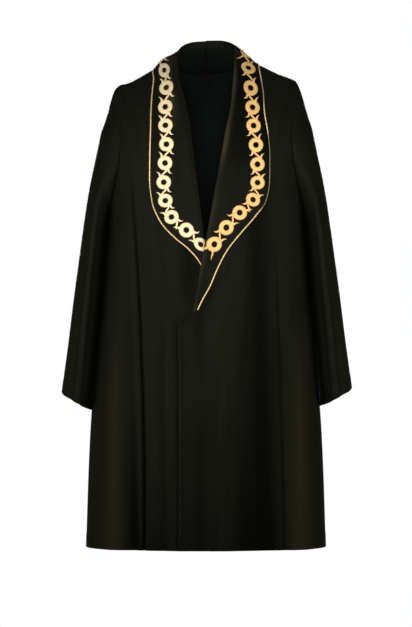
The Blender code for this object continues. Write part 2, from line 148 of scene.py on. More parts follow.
def smooth_line(table, place):
    """Value at a place of a table whose first column is the place: cubic pieces through its rows, each row's
    slope the harmonic mean of the two chords beside it, or level where they turn, so nothing overshoots."""
    rows = np.array(table, float)
    rows = rows[np.argsort(rows[:, 0])]
    keys = rows[:, 0]
    values = rows[:, 1:]
    chords = np.diff(values, axis=0) / np.diff(keys)[:, None]
    product = chords[1:] * chords[:-1]
    total = chords[1:] + chords[:-1]
    inner = np.where(product > 0, 2 * product / np.where(product > 0, total, 1), 0)
    slopes = np.vstack([chords[:1], inner, chords[-1:]])
    place = np.clip(np.asarray(place, float), keys[0], keys[-1])
    k = np.clip(np.searchsorted(keys, place) - 1, 0, len(keys) - 2)
    step = (keys[k + 1] - keys[k])[..., None]
    f = (place - keys[k])[..., None] / step
    found = values[k] * (1 + 2 * f) * (1 - f) ** 2 + slopes[k] * step * f * (1 - f) ** 2
    found = found + values[k + 1] * f**2 * (3 - 2 * f) - slopes[k + 1] * step * f**2 * (1 - f)
    return found[..., 0] if values.shape[1] == 1 else found


def ease(value, start, end):
    """0 before the start, 1 after the end, and a smooth step between them: 3ff - 2fff of the share f."""
    f = np.clip((np.asarray(value, float) - start) / (end - start), 0, 1)
    return f * f * (3 - 2 * f)


def bell(value, middle, width):
    """1 at the middle and falling away on both sides, as a bell curve of this width."""
    return np.exp(-(((value - middle) / width) ** 2))


def lengths(vectors):
    """Length of each vector: the root of its sum of squares."""
    return np.linalg.norm(vectors, axis=-1)


def unit(vectors):
    """The vectors at length one."""
    return vectors / np.maximum(lengths(vectors), 1e-9)[..., None]


def ridge_z(x):
    """Height of the shoulder ridge at x: its table, a slight tilt up to the wearer's left, and a peak."""
    x = np.asarray(x, float)
    middle, width, height = RIDGE_PEAK
    return smooth_line(SHOULDER_RIDGE, np.abs(x)) + SHOULDER_TILT * x + height * bell(x, middle, width)


def half_width(z):
    """Half width of the body's section at this height."""
    return smooth_line(BODY_SECTION, z)[..., 0]


def body_y(x, z, face):
    """Depth coordinate of the cloth: a squared oval in plan, rounded over at the shoulder ridge."""
    section = smooth_line(BODY_SECTION, z)
    depth = section[..., 1] if face < 0 else section[..., 2]
    power = section[..., 3]
    across = np.clip(np.abs(x) / section[..., 0], 0, 1)
    oval = (1 - across**power) ** (1 / power)
    below = np.clip((ridge_z(x) - z) / SHOULDER_ROUND, 0, 1)
    return face * depth * oval * np.sqrt(1 - (1 - below) ** 2)


def fold_height(x, z, folds):
    """Sum of the folds: each a rib or trough with a bell-shaped section along its own bowed, leaning line.

    It grows as a power of the way down the line, widens on the way, and dies out below its end.
    """
    total = np.zeros(np.shape(x))
    for start_x, start_z, end_x, end_z, bow, width, height, growth in folds:
        down = np.clip((start_z - z) / (start_z - end_z), 0, 1)
        middle = start_x + (end_x - start_x) * down + 4 * bow * down * (1 - down)
        alive = down**growth * (1 - ease(end_z - z, 0, 130))
        total = total + height * alive * bell(x, middle, width * (0.7 + 0.3 * down))
    return total


def grid_normals(points, round_tube=False):
    """Unit normals of a grid of points, from the differences between neighbours."""
    down = np.gradient(points, axis=0)
    if round_tube:
        along = (np.roll(points, -1, axis=1) - np.roll(points, 1, axis=1)) / 2
    else:
        along = np.gradient(points, axis=1)
    return unit(np.cross(down, along))


def quads_of(corner):
    """Four-cornered faces of a grid of corner numbers: row, next column, next row, back."""
    a, b, c, d = corner[:-1, :-1], corner[:-1, 1:], corner[1:, 1:], corner[1:, :-1]
    return np.stack([a, b, c, d], -1).reshape(-1, 4)


def mesh_piece(name, corners, faces, chart, materials, slots=None, marks=None):
    """Mesh object from corners in millimetres, shaded smooth, its faces turned outwards by the sign of the
    volume that they enclose. The chart holds each face corner's place on the flat cloth, in metres."""
    a, b, c, d = (corners[faces[:, i]] for i in range(4))
    volume = np.einsum("ij,ij->", a, np.cross(b, c)) + np.einsum("ij,ij->", a, np.cross(c, d))
    if volume < 0:
        faces = faces[:, ::-1]
        chart = chart[:, ::-1]
    mesh = bpy.data.meshes.new(name)
    mesh.from_pydata((corners / 1000).tolist(), [], faces.tolist())
    mesh.polygons.foreach_set("use_smooth", np.ones(len(faces), bool))
    if slots is not None:
        mesh.polygons.foreach_set("material_index", slots.astype(np.int32))
    mesh.uv_layers.new(name="cloth").data.foreach_set("uv", chart.reshape(-1).astype(np.float32))
    for mark, values in (marks or {}).items():
        layer = mesh.attributes.new(mark, "FLOAT", "POINT")
        layer.data.foreach_set("value", values.astype(np.float32))
    for material in materials:
        mesh.materials.append(material)
    mesh.update()
    obj = bpy.data.objects.new(name, mesh)
    scene.collection.objects.link(obj)
    return obj


def flat_chart(points, round_tube=False):
    """Place of each grid point on the flat cloth: length along its row, and mean length down the columns."""
    if round_tube:
        points = np.concatenate([points, points[:, :1]], axis=1)
    along = lengths(np.diff(points, axis=1)).cumsum(axis=1)
    down = lengths(np.diff(points, axis=0)).mean(axis=1).cumsum()
    u = np.concatenate([np.zeros((len(points), 1)), along], axis=1)
    v = np.concatenate([[0], down])[:, None] + 0 * u
    return np.stack([u, v], -1) / 1000


def cloth_shell(name, points, normals, thickness, materials, round_tube=False, marks=None):
    """Closed wall of cloth: the grid moved out and in by half its thickness, and between the two, round every
    free edge, a rim that stands half the thickness beyond the edge. A second material goes on the inside."""
    rows, columns = points.shape[:2]
    half = np.broadcast_to(np.asarray(thickness, float) / 2, (rows, columns))[..., None]
    chart = flat_chart(points, round_tube)
    corner = np.arange(rows * columns).reshape(rows, columns)
    place = np.arange(chart.shape[0] * chart.shape[1]).reshape(chart.shape[:2])
    if round_tube:
        corner = np.hstack([corner, corner[:, :1]])
        loops = [(np.zeros(columns + 1, int), np.arange(columns + 1))]
        loops.append((np.full(columns + 1, rows - 1), np.arange(columns, -1, -1)))
    else:
        ends = [np.zeros(columns - 1), np.arange(rows - 1), np.full(columns - 1, rows - 1)]
        ends_across = [np.arange(columns - 1), np.full(rows - 1, columns - 1), np.arange(columns - 1, 0, -1)]
        down = np.concatenate(ends + [np.arange(rows - 1, -1, -1)]).astype(int)
        across = np.concatenate(ends_across + [np.zeros(rows)]).astype(int)
        loops = [(down, across)]
    under = corner + rows * columns
    faces = [quads_of(corner), quads_of(under)[:, ::-1]]
    places = [quads_of(place), quads_of(place)[:, ::-1]]
    corners = [(points + normals * half).reshape(-1, 3), (points - normals * half).reshape(-1, 3)]
    copies = [corner[:, :columns].reshape(-1), corner[:, :columns].reshape(-1)]
    next_free = 2 * rows * columns
    for down, across in loops:
        wrapped = across % columns if round_tube else across
        inner_row = np.clip(down, 1, rows - 2)
        inner_column = wrapped if round_tube else np.clip(across, 1, columns - 2)
        edge = points[down, wrapped]
        beyond = unit(edge - points[inner_row, inner_column])
        rim_points = (edge + beyond * half[down, wrapped])[:-1]
        rim = next_free + np.append(np.arange(len(rim_points)), 0)
        next_free += len(rim_points)
        top, low, flat = corner[down, wrapped], under[down, wrapped], place[down, across]
        faces.append(np.stack([top[1:], top[:-1], rim[:-1], rim[1:]], -1))
        faces.append(np.stack([low[:-1], low[1:], rim[1:], rim[:-1]], -1))
        places.append(np.stack([flat[1:], flat[:-1], flat[:-1], flat[1:]], -1))
        places.append(np.stack([flat[:-1], flat[1:], flat[1:], flat[:-1]], -1))
        corners.append(rim_points)
        copies.append(top[:-1])
    slots = np.zeros(sum(len(part) for part in faces))
    if len(materials) > 1:
        slots[len(faces[0]) : 2 * len(faces[0])] = 1
    copies = np.concatenate(copies)
    marks = {mark: values.reshape(-1)[copies] for mark, values in (marks or {}).items()}
    chart = chart.reshape(-1, 2)[np.concatenate(places)]
    return mesh_piece(name, np.concatenate(corners), np.concatenate(faces), chart, materials, slots, marks)


def put(tree, kind, settings, sockets):
    """New shader node with its settings, each of its sockets given a value or linked to an output."""
    made = tree.nodes.new(kind)
    for key, value in settings.items():
        setattr(made, key, value)
    for socket, value in sockets.items():
        if isinstance(value, bpy.types.NodeSocket):
            tree.links.new(value, made.inputs[socket])
        else:
            made.inputs[socket].default_value = value
    return made


def calc(tree, operation, *values, clamp=False):
    """Result of a sum on the values."""
    settings = {"operation": operation, "use_clamp": clamp}
    return put(tree, "ShaderNodeMath", settings, dict(enumerate(values))).outputs[0]


def stretched(tree, value, low, high, to_low=0.0, to_high=1.0):
    """The value's range from low to high, stretched to another range."""
    sockets = {"Value": value, "From Min": low, "From Max": high, "To Min": to_low, "To Max": to_high}
    return put(tree, "ShaderNodeMapRange", {}, sockets).outputs["Result"]


def blend(tree, factor, first, second):
    """Colour that goes from the first to the second one as the factor goes from 0 to 1."""
    sockets = {"Factor": factor}
    for name, colour in (("A", first), ("B", second)):
        sockets[name] = (*colour, 1) if isinstance(colour, tuple) else colour
    return put(tree, "ShaderNodeMix", {"data_type": "RGBA"}, sockets).outputs["Result"]


def noise(tree, place, scale, detail, roughness=0.5):
    """Cloudy value at a place on the cloth."""
    sockets = {"Vector": place, "Scale": scale, "Detail": detail, "Roughness": roughness}
    return put(tree, "ShaderNodeTexNoise", {}, sockets).outputs["Fac"]


def stripes_of(tree, chart, direction, width, distortion):
    """Soft stripes of this width in metres, square to a direction of the flat cloth."""
    sockets = {"Vector": chart, "Scale": 0.314 / width, "Distortion": distortion, "Detail": 1.0}
    return put(tree, "ShaderNodeTexWave", {"bands_direction": direction}, sockets).outputs["Fac"]


def mark(tree, name):
    """Value of one of the mesh's marks."""
    return put(tree, "ShaderNodeAttribute", {"attribute_name": name}, {}).outputs["Fac"]


def raised_material(name, strength, distance, height_of, fineness):
    """New material, whose surface is raised by a height worked out from its place on the flat cloth."""
    material = bpy.data.materials.new(name)
    material.use_nodes = True
    tree = material.node_tree
    chart = put(tree, "ShaderNodeUVMap", {"uv_map": "cloth"}, {}).outputs["UV"]
    sockets = {"Strength": strength, "Distance": distance, "Height": height_of(tree, chart, fineness)}
    bump = put(tree, "ShaderNodeBump", {}, sockets)
    shader = tree.nodes["Principled BSDF"]
    tree.links.new(bump.outputs["Normal"], shader.inputs["Normal"])
    return material, tree, shader, chart


def weave_height(tree, chart, yarn):
    """Height of the cloth: the product of the warp's and the weft's stripes, and a fine crepe grain."""
    crossing = calc(tree, "MULTIPLY", *(stripes_of(tree, chart, way, yarn, 1.2) for way in ("X", "Y")))
    return calc(tree, "MULTIPLY_ADD", noise(tree, chart, 520, 3, 0.6), 0.8, crossing)


def woven_black(name, dark, light, ridge, roughness, specular, sheen, yarn):
    """Black cloth: two families of yarns crossing at right angles raise the surface, the tone drifts between
    two near-blacks along the warp, a painted highlight makes the crests of the folds lighter and warmer, and
    painted shade darkens their valleys, which are also rougher."""
    material, tree, shader, chart = raised_material(name, 0.5, 0.00006, weave_height, yarn)
    warp = put(tree, "ShaderNodeMapping", {}, {"Vector": chart, "Scale": (46, 3.2, 1)})
    drift = noise(tree, warp.outputs["Vector"], 1, 3)
    fold = mark(tree, "painted_light_mark")
    valley_shade = calc(tree, "MULTIPLY", fold, -1.0, clamp=True)
    # Painted highlight: crests blend to the ridge colour. Painted shade: valleys blend to 0.4 of the dark
    # tone.
    painted_light = blend(tree, fold, blend(tree, stretched(tree, drift, 0.3, 0.7), dark, light), ridge)
    colour = blend(tree, valley_shade, painted_light, tuple(0.4 * value for value in dark))
    tree.links.new(colour, shader.inputs["Base Color"])
    rough = stretched(tree, drift, 0.25, 0.75, roughness - 0.05, roughness + 0.06)
    duller = calc(tree, "MULTIPLY_ADD", valley_shade, 0.38, rough, clamp=True)
    tree.links.new(duller, shader.inputs["Roughness"])
    shader.inputs["Specular IOR Level"].default_value = specular
    shader.inputs["Specular Tint"].default_value = (0.94, 1.0, 0.88, 1)
    shader.inputs["Sheen Weight"].default_value = sheen
    shader.inputs["Sheen Roughness"].default_value = 0.35
    shader.inputs["Sheen Tint"].default_value = (1.0, 0.9, 0.68, 1)
    return material


# Its ridge colour is the painted highlight on the crests of the folds.
crepe_outside = woven_black(
    "black_crepe", dark=(0.0056, 0.0063, 0.0046), light=(0.0080, 0.0088, 0.0068),
    ridge=(0.0150, 0.0136, 0.0080), roughness=0.5, specular=0.014, sheen=0.004, yarn=0.0007,
)
# Inside faces: the wrong side of the same crepe, partly its own duller face and partly painted light, its
# tone raised and cooler to stand in for the dim light inside the robe.
crepe_inside = woven_black(
    "black_crepe_wrong_side_painted_light", dark=(0.0066, 0.0082, 0.0074), light=(0.0090, 0.0112, 0.0102),
    ridge=(0.0090, 0.0112, 0.0102), roughness=0.65, specular=0.025, sheen=0.004, yarn=0.0007,
)
crepe = (crepe_outside, crepe_inside)


def panel_rows(side):
    """Fine rows of a panel: their heights at the inner and outer edge, how much of the shoulder's slope each
    has, and the number of the armpit's row. They are closer together round the lapel's tip and at the hem."""
    table = np.array(PANEL_ROWS, float)
    upper_steps = int((table[0, 1] - ARMPIT_Z) / ROW_STEP)
    number = np.linspace(0, ARMPIT_ROW, upper_steps + 1)
    inner_upper = smooth_line(table[:, [0, 1 if side else 2]], number)
    share = number / ARMPIT_ROW
    outer_upper = (ARMPIT_Z - 40) / 2 - (ARMPIT_Z + 40) / 2 * np.cos(np.pi * share)
    top = ARMPIT_Z
    stretches = []
    for low, step in LOWER_STEPS:
        stretches.append(np.linspace(top, low, int(round((top - low) / step)) + 1)[1:])
        top = low
    outer_lower = np.concatenate(stretches)
    down = (ARMPIT_Z - outer_lower) / (ARMPIT_Z - HEM_Z)
    inner_lower = outer_lower + (inner_upper[-1] - ARMPIT_Z) * (1 - down) ** 6
    slope = np.concatenate([(1 - share**2) ** 2, np.zeros(len(outer_lower))])
    inner = np.concatenate([inner_upper, inner_lower])
    outer = np.concatenate([outer_upper, outer_lower])
    return inner, outer, slope, upper_steps


def half_panel(face, side, places, inner_edge):
    """One half of the back or one front: rows from the neck edge or centre line to the armhole and side seam.

    Along a row the angle round the oval goes evenly from edge to edge. Each point's height is the mean of
    the row's two ends, and near the shoulder the row also bends as the ridge does.
    """
    inner_z, outer_z, slope, armpit = panel_rows(side if face < 0 else 0)
    outer_x = half_width(outer_z)
    outer_x[: armpit + 1] = smooth_line(ARMHOLE, outer_z[: armpit + 1])
    tilt = SHOULDER_TILT * side * slope
    outer_z = outer_z + tilt * outer_x
    inner_x = smooth_line(inner_edge, inner_z)
    if face < 0:
        inner_z = inner_z + tilt * inner_x
        inner_z[0] = ridge_z(side * inner_x[0])
    outer_z[0] = ridge_z(side * outer_x[0])
    width = np.maximum(half_width(outer_z), outer_x)
    start = np.arcsin(np.clip(inner_x / width, -1, 1))
    end = np.arcsin(np.clip(outer_x / width, -1, 1))
    angle = start[:, None] + (end - start)[:, None] * places[None, :]
    x = width[:, None] * np.sin(angle)
    z = inner_z[:, None] + (outer_z - inner_z)[:, None] * places[None, :]
    top = ridge_z(side * x[0])
    if face > 0:
        top = top - smooth_line(NECK_DROP, x[0])
    bend = top - (top[0] + (top[-1] - top[0]) * places)
    z = z + slope[:, None] * bend[None, :]
    y = body_y(side * x, z, face)
    y = face * np.maximum(face * y, SEAM_GAP / 2)
    return np.stack([side * x, y, z], axis=-1)


def seam_ditch(points, columns):
    """How deep the cloth is drawn in beside its seams: most at the edge, gone a few millimetres away."""
    depth = np.zeros(points.shape[:2])
    for column in columns:
        away = lengths(points - points[:, column][:, None])
        depth = np.maximum(depth, bell(away, 0, DITCH_REACH))
    shoulder = np.abs(points[0, :, 1]) < 2 * SEAM_GAP
    return np.maximum(depth, bell(lengths(points - points[0]), 0, DITCH_REACH) * shoulder)


def hang_panel(name, points, face, seam_columns, armpit, folds, lift=0, painted_edge_light=0):
    """Panel as a cloth shell: folds, hem turn-up and seam ditches added along its normals, which are kept
    square to the seams. The folds are marked for painted light, a painted highlight on their crests and
    painted shade in their valleys, and so is the painted light and shade given along its edges."""
    normals = grid_normals(points)
    if (normals[..., 1] * face).sum() < 0:
        normals = -normals
    shoulder = np.abs(points[0, :, 1]) < 2 * SEAM_GAP
    normals[0, shoulder, 1] = 0
    for column in seam_columns:
        normals[armpit:, column, 1:] = 0
    normals = unit(normals)
    x, z = points[..., 0], points[..., 2]
    drape = fold_height(x, z, folds)
    nearest = np.ones(points.shape[:2])
    for column in seam_columns:
        away = lengths(points - points[:, column][:, None])
        nearest = np.minimum(nearest, ease(away, 0, FLAT_BESIDE_SEAM))
    height = (drape + lift) * nearest - SEAM_DITCH * seam_ditch(points, seam_columns)
    hem = 1 - ease(z, HEM_Z + HEM_TURN - 1, HEM_Z + HEM_TURN + 1)
    height = height - HEM_LINE * bell(z, HEM_Z + HEM_TURN, HEM_LINE_REACH)
    points = points + normals * height[..., None]
    # Painted light mark: fold crests get a painted highlight, only below the chest, and valleys painted
    # shade.
    painted_light_mark = np.clip(drape / 9, -1, 1)
    painted_light_mark = np.clip(painted_light_mark * np.where(painted_light_mark > 0, ease(z, -330, -820), 1) + painted_edge_light, -1, 1)
    shell = cloth_shell(name + "_cloth", points, normals, CREPE + 1.0 * hem, crepe, marks={"painted_light_mark": painted_light_mark})
    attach(shell, "root")
    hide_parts(name)
    return shell, points


BACK_COLUMNS = 84
*_, armpit_row = panel_rows(0)
centre_line = ((HEM_Z, 0), (16, 0))
neck_share = np.arcsin(NECK_SIDE_X / SHOULDER_HALF) / np.arcsin(SHOULDER_TIP_X / SHOULDER_HALF)
neck_columns = 26
neck_places = neck_share * np.linspace(0, 1, neck_columns + 1) ** 0.8
back_places = np.concatenate([neck_places, np.linspace(neck_share, 1, BACK_COLUMNS - neck_columns + 1)[1:]])
back_left = half_panel(+1, +1, back_places, centre_line)
back_right = half_panel(+1, -1, back_places, centre_line)
back_grid = np.concatenate([back_right[:, :0:-1], back_left], axis=1)
back, back_grid = hang_panel("back", back_grid, +1, (0, -1), armpit_row, BACK_FOLDS)

# Fronts: two crepe panels that meet the back at the shoulder and side seams. The left one laps over the
# right one, and a row of stitches runs down beside its edge. The right one hangs behind it.
FRONT_COLUMNS = 140
EDGE_COLUMNS = 16
EDGE_SHARE = 0.055
STITCH_INSET = 8.0
STITCH_DITCH = 0.4
LAP_HEIGHT = 9.6
LAP_SETTLES = 6.2
TIP_PULL = 6.5
TIP_PULL_X = -46.0
TIP_PULL_Z = -589.0

# Neck and lapel edges of the fronts: height, distance of the left one from the centre, of the right one
NECK_EDGES = (
    (16, 72, 72), (5, 71, 71.5), (-18, 68.5, 68), (-50, 66, 61.5), (-95, 61.5, 49.5), (-145, 51.5, 40.5),
    (-195, 42.5, 34.5), (-250, 32.5, 27.5), (-305, 22.5, 20.5), (-355, 13.5, 14), (-400, 5.5, 8),
    (-440, -2.5, 2.5), (-475, -8.5, -3.5), (-515, -15.5, -10.5), (-548, -20.5, -16.5), (-573, -24, -22),
    (-580, -34, -34), (-597, -63, -63), (-606, -66, -66), (-1123, -66, -66),
)
NECK_EDGE = {+1: [(z, left) for z, left, _ in NECK_EDGES], -1: [(z, right) for z, _, right in NECK_EDGES]}

# Folds of the fronts: start x, start z, end x, end z, bow, half width, height, how late they grow
FRONT_FOLDS = (
    (-175, -262, -145, -1123, 11, 3.2, -14, 0.45),
    (-165, -290, -135, -1123, 11, 9, 2.6, 0.5),
    (-187, -300, -156, -1123, 10, 10, 3.6, 0.5),
    (-172, -760, -166, -1123, 0, 17, -12, 0.8),
    (-214, -500, -216, -1123, 0, 22, 12, 0.8),
    (-246, -300, -256, -1123, 0, 14, 3, 0.4),
    (-128, -360, -118, -1123, 3, 10, 2, 0.6),
    (-104, -400, -96, -1123, 2, 9, -2, 0.6),
    (-88, -420, -84, -1000, -2, 11, 2, 0.7),
    (-44, -385, -40, -470, 0, 18, -6, 0.3),
    (163, -440, 183, -1123, 2, 4, -4.5, 0.25),
    (192, -520, 197, -1123, 2, 9, 2, 0.6),
    (116, -170, 138, -1123, 0, 36, -10.5, 0.35),
    (84, -620, 88, -1123, 0, 22, -6, 0.8),
    (-124, -860, -120, -1123, 0, 32, -7, 1),
    (14, -760, 18, -1123, 0, 72, -4.8, 0.8),
    (219, -540, 221, -1123, 0, 22, 12, 0.8),
    (247, -300, 250, -760, 0, 12, 2.6, 0.4),
    (30, -560, 34, -1123, 0, 30, 2.4, 1),
    (-20, -700, -24, -1123, 0, 26, -2.6, 1),
    (62, -455, -16, -590, -8, 10, -4.2, 0.6),
    (96, -430, 22, -640, -12, 15, 4, 0.6),
    (128, -400, 84, -700, -8, 11, -2.6, 0.8),
)


def layer_height(x, z):
    """How far the left front stands over the right one: most where it crosses the other collar half, with a
    small pull at the lapel's tip."""
    near_edge = 1 - ease(x, 70, 190)
    lap = LAP_HEIGHT * ease(z, -235, -395) - LAP_SETTLES * ease(z, -590, -760)
    return near_edge * (lap + TIP_PULL * bell(x, TIP_PULL_X, 15) * bell(z, TIP_PULL_Z, 6))


front_places = np.linspace(EDGE_SHARE, 1, FRONT_COLUMNS - EDGE_COLUMNS + 1)
front_places = np.concatenate([np.linspace(0, EDGE_SHARE, EDGE_COLUMNS + 1)[:-1], front_places])
fronts = {}
for side, name in ((+1, "front_left"), (-1, "front_right")):
    grid = half_panel(-1, side, front_places, NECK_EDGE[side])
    x, z = grid[..., 0], grid[..., 2]
    from_edge = lengths(grid - grid[:, :1])
    stitched = ease(-z, 596, 606)
    over = layer_height(x, z) if side > 0 else 0
    over = over - STITCH_DITCH * stitched * bell(from_edge, STITCH_INSET, 1.3)
    # Painted light at the left front's edge: a painted highlight then painted shade beside the pull at the
    # lapel's tip, and painted shade along the edge and beside the stitch groove.
    pulled = bell(x, TIP_PULL_X, 13) * bell(z, TIP_PULL_Z, 14)
    pale_then_dark = bell(from_edge, 2, 2) - 0.9 * bell(from_edge, 8, 3)
    dark_lines = 0.9 * bell(from_edge, 0, 2.2) + 0.45 * bell(from_edge, STITCH_INSET + 2.4, 1.6)
    painted_edge_light = pulled * pale_then_dark - stitched * dark_lines if side > 0 else 0
    shell, grid = hang_panel(name, grid, -1, (-1,), armpit_row, FRONT_FOLDS, over, painted_edge_light)
    fronts[side] = grid

# Sleeves: one crepe tube each, set into the armhole and widening to a slanted open hem, turned up inside.
# They hang just clear of the body's sides, and their back halves lean in behind it.
SLEEVE_ROWS = 150
SLEEVE_HEM_SHIFT = 5.0
SLEEVE_SKEW = 0.14
SLEEVE_TURN = 28.0
SLEEVE_WIDER = {+1: 1.0, -1: -3.0}
SLEEVE_HEAD_Z = -100.0
SLEEVE_HEAD_FULLER = {+1: 3.0, -1: 1.0}
SLEEVE_BACK_TURN = 263.0

# Sleeve rings: place along it, height of the outer edge, height of the inner edge, half depth, depth centre
SLEEVE_RINGS = (
    (0, -40, -335, 97, 0),
    (0.15, -110, -348, 103, 2),
    (0.3, -205, -378, 109, 7),
    (0.45, -315, -440, 114, 11),
    (0.6, -430, -528, 117, 16),
    (0.8, -590, -662, 120, 21),
    (1, -757, -799, 124, 26),
)

# Outer edge of the sleeve seen from the front: height, distance from the centre
SLEEVE_OUTER = (
    (-40, 211), (-52, 217), (-75, 224), (-99, 230), (-122, 237), (-146, 246), (-169, 251), (-216, 260),
    (-263, 269), (-310, 277), (-357, 284), (-451, 297), (-545, 310), (-639, 322), (-733, 335),
    (-760, 338.5),
)

# How far the inner edge of the sleeve stands off the side of the body: height, distance
SLEEVE_CLEARANCE = ((-335, 1.6), (-360, 1.8), (-440, 1.8), (-600, 1.6), (-800, 1.8))

# Folds of a sleeve: degrees round it from the shoulder by way of the front, at the start and at the hem,
# start and end place along it, half width in degrees, height, how late they grow
SLEEVE_FOLDS = (
    (40, 52, 0.1, 1, 15, 3.2, 0.9),
    (64, 78, 0.2, 1, 10, -2.4, 0.8),
    (88, 104, 0.15, 1, 12, 3, 0.8),
    (122, 128, 0.3, 1, 13, -1.4, 0.9),
    (100, 60, 0.02, 0.4, 9, -2.2, 0.5),
    (214, 222, 0.06, 1, 17, 6.5, 0.35),
    (262, 258, 0.12, 1, 12, -3.8, 0.8),
    (286, 292, 0.1, 1, 14, 3.4, 0.8),
    (318, 316, 0.3, 1, 12, -2.6, 0.9),
)


def sleeve_grid(side, front, back_edge, armpit):
    """Sleeve rings from the armhole to the slanted hem.

    Each ring is an oval whose long way runs front to back. Its outer point follows the sleeve's outline
    and its inner point the side of the body. Near the armhole the rings turn into the armhole's own edge,
    1 mm off it, and nearer at the back, where the sleeve runs beside the armhole.
    """
    place = (np.linspace(0, 1, SLEEVE_ROWS + 1) ** 1.15)[:, None]
    outer_z, inner_z, depth, centre_y = np.moveaxis(smooth_line(SLEEVE_RINGS, place), -1, 0)
    outer_x = smooth_line(SLEEVE_OUTER, outer_z) + SLEEVE_WIDER[side]
    outer_x = outer_x + SLEEVE_HEAD_FULLER[side] * bell(outer_z, SLEEVE_HEAD_Z, 50)
    inner_x = half_width(inner_z) + smooth_line(SLEEVE_CLEARANCE, inner_z)
    outer_z = outer_z + side * SLEEVE_HEM_SHIFT * place
    inner_z = inner_z + side * SLEEVE_HEM_SHIFT * place
    edge = np.concatenate([front[: armpit + 1, -1], back_edge[armpit - 1 : 0 : -1]])
    edge[0, 1] = 0
    edge[armpit, 1] = 0
    turn = np.pi * np.arange(2 * armpit)[None, :] / armpit
    skew = SLEEVE_SKEW * ease(place, 0, 0.4) * (np.sin(turn) - 0.8 * np.sin(turn) ** 2)
    x = (outer_x + inner_x) / 2 + (outer_x - inner_x) / 2 * np.cos(turn) + skew * depth
    y = centre_y - depth * np.sin(turn)
    inwards = (outer_x - x) / (outer_x - inner_x)
    flat = (outer_z + inner_z) / 2 + (outer_z - inner_z) / 2 * np.cos(turn)
    level = outer_z + (inner_z - outer_z) * inwards
    z = flat + (level - flat) * ease(place, 0.3, 0.75)
    points = np.stack([side * x, y, z], axis=-1)
    seam_gap = 1 - 0.85 * bell(np.degrees(turn.T), SLEEVE_BACK_TURN, 14)
    start = edge + seam_gap * np.array([side, 0, 0])
    hold = 1 - ease(place, 0, 0.38)
    return points + (start - points[0])[None] * hold[..., None], place, turn


def sleeve_fold_height(place, turn):
    """Sum of the sleeve's folds, each a bell-shaped rib or trough at its own angle round the sleeve."""
    total = np.zeros(np.broadcast(place, turn).shape)
    for start_turn, end_turn, start, end, width, height, growth in SLEEVE_FOLDS:
        down = np.clip((place - start) / (end - start), 0, 1)
        middle = start_turn + (end_turn - start_turn) * down
        alive = down**growth * (1 - ease(place, end, end + 0.25))
        total = total + height * alive * bell(np.degrees(turn), middle, width)
    return total


for side, name, back_edge in ((+1, "sleeve_left", back_grid[:, -1]), (-1, "sleeve_right", back_grid[:, 0])):
    tube, place, turn = sleeve_grid(side, fronts[side], back_edge, armpit_row)
    normals = grid_normals(tube, True)
    normals = normals * np.sign((normals[..., 0] * np.cos(turn)).sum() * side)
    drape = sleeve_fold_height(place, turn)
    to_hem = lengths(tube - tube[-1])
    height = drape - SEAM_DITCH * bell(lengths(tube - tube[0]), 0, DITCH_REACH)
    height = height - HEM_LINE * bell(to_hem, SLEEVE_TURN, HEM_LINE_REACH)
    turned_up = 1 - ease(to_hem, SLEEVE_TURN - 1, SLEEVE_TURN + 1)
    tube = tube + normals * height[..., None]
    # Painted highlight on the sleeve's fold crests and painted shade in its valleys.
    marks = {"painted_light_mark": np.clip(drape / 12, -1, 1) * ease(place, 0.1, 0.6)}
    shell = cloth_shell(name + "_cloth", tube, normals, CREPE + 1.0 * turned_up, crepe, True, marks)
    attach(shell, "root")
    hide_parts(name)

# Collar: two shawl halves of a closer, slightly glossy black cloth, folded double and sewn together at the
# centre back. Each rises from the neck seam as a stand, rolls over, and lies flat down to the lapel's tip.
COLLAR_CLOTH = 1.6
COLLAR_SEAM_X = 0.78
ROLL_LEAN = 6.0
COLLAR_STEPS = 264
COLLAR_ACROSS = 64
STAND_COLUMNS = 14
FALL_HEIGHT = 3.8
FALL_DROP = 0.6
RETURN_WIDTH = 11.0
INSIDE_DEPTH = 3.3
ROLL_LOOP = 4.6
ROLL_CREST = 0.12

# Collar at the neck: seam x, drop below the ridge, face, roll x, y, z, outer edge x, drop below the ridge
COLLAR_NECK = (
    (0, 25, 1, 0, 52, 69, 0, 42),
    (28, 22.6, 1, 27, 49, 68, 41, 35),
    (52, 15.3, 1, 47, 36, 62, 79, 23),
    (66, 5.4, 1, 59, 17, 52, 105, 9),
    (72, 0, 1, 65, -6, 38, 117, 0),
    (71, 11, -1, 66, -28, 20, 121, 14),
)

# Collar down the front: roll x, roll z, outer edge x, outer edge z
COLLAR_FRONT = {
    +1: (
        (64.5, -14, 126, -38), (61.5, -50, 130, -68), (57, -95, 132, -110), (47, -145, 140, -160),
        (38, -195, 144.5, -212), (28, -250, 144, -268), (18, -305, 136, -315), (9, -355, 111, -352),
        (1, -400, 77, -392), (-7, -440, 46, -432), (-13, -475, 25, -472), (-20, -515, 8, -512),
        (-25, -548, -10, -545), (-29, -573, -21, -568),
    ),
    -1: (
        (63, -14, 119, -34), (57, -50, 122, -66), (45, -95, 124.5, -110), (36, -145, 125.5, -160),
        (30, -195, 127, -212), (23, -250, 127.5, -266), (16, -305, 122, -318), (9.5, -355, 103, -364),
        (3.5, -400, 70, -401), (-2, -440, 38, -428), (-8, -475, 13, -458), (-15, -515, -3, -497),
        (-21, -548, -12, -540), (-27, -573, -19, -568),
    ),
}
LAST_KEY = len(COLLAR_NECK) + len(COLLAR_FRONT[1]) - 1

# Painted highlight line down each collar half: place across it, width, how pale, key where it ends
PAINTED_HIGHLIGHT_LINE = {+1: (0.265, 0.072, 1.25, 99), -1: (0.58, 0.1, 1.0, 8.7)}

# Its ridge colour is the painted highlight along the collar's roll.
collar_cloth = woven_black(
    "black_collar_cloth", dark=(0.0046, 0.0050, 0.0037), light=(0.0066, 0.0070, 0.0054),
    ridge=(0.0300, 0.0270, 0.0180), roughness=0.46, specular=0.022, sheen=0.004, yarn=0.0005,
)


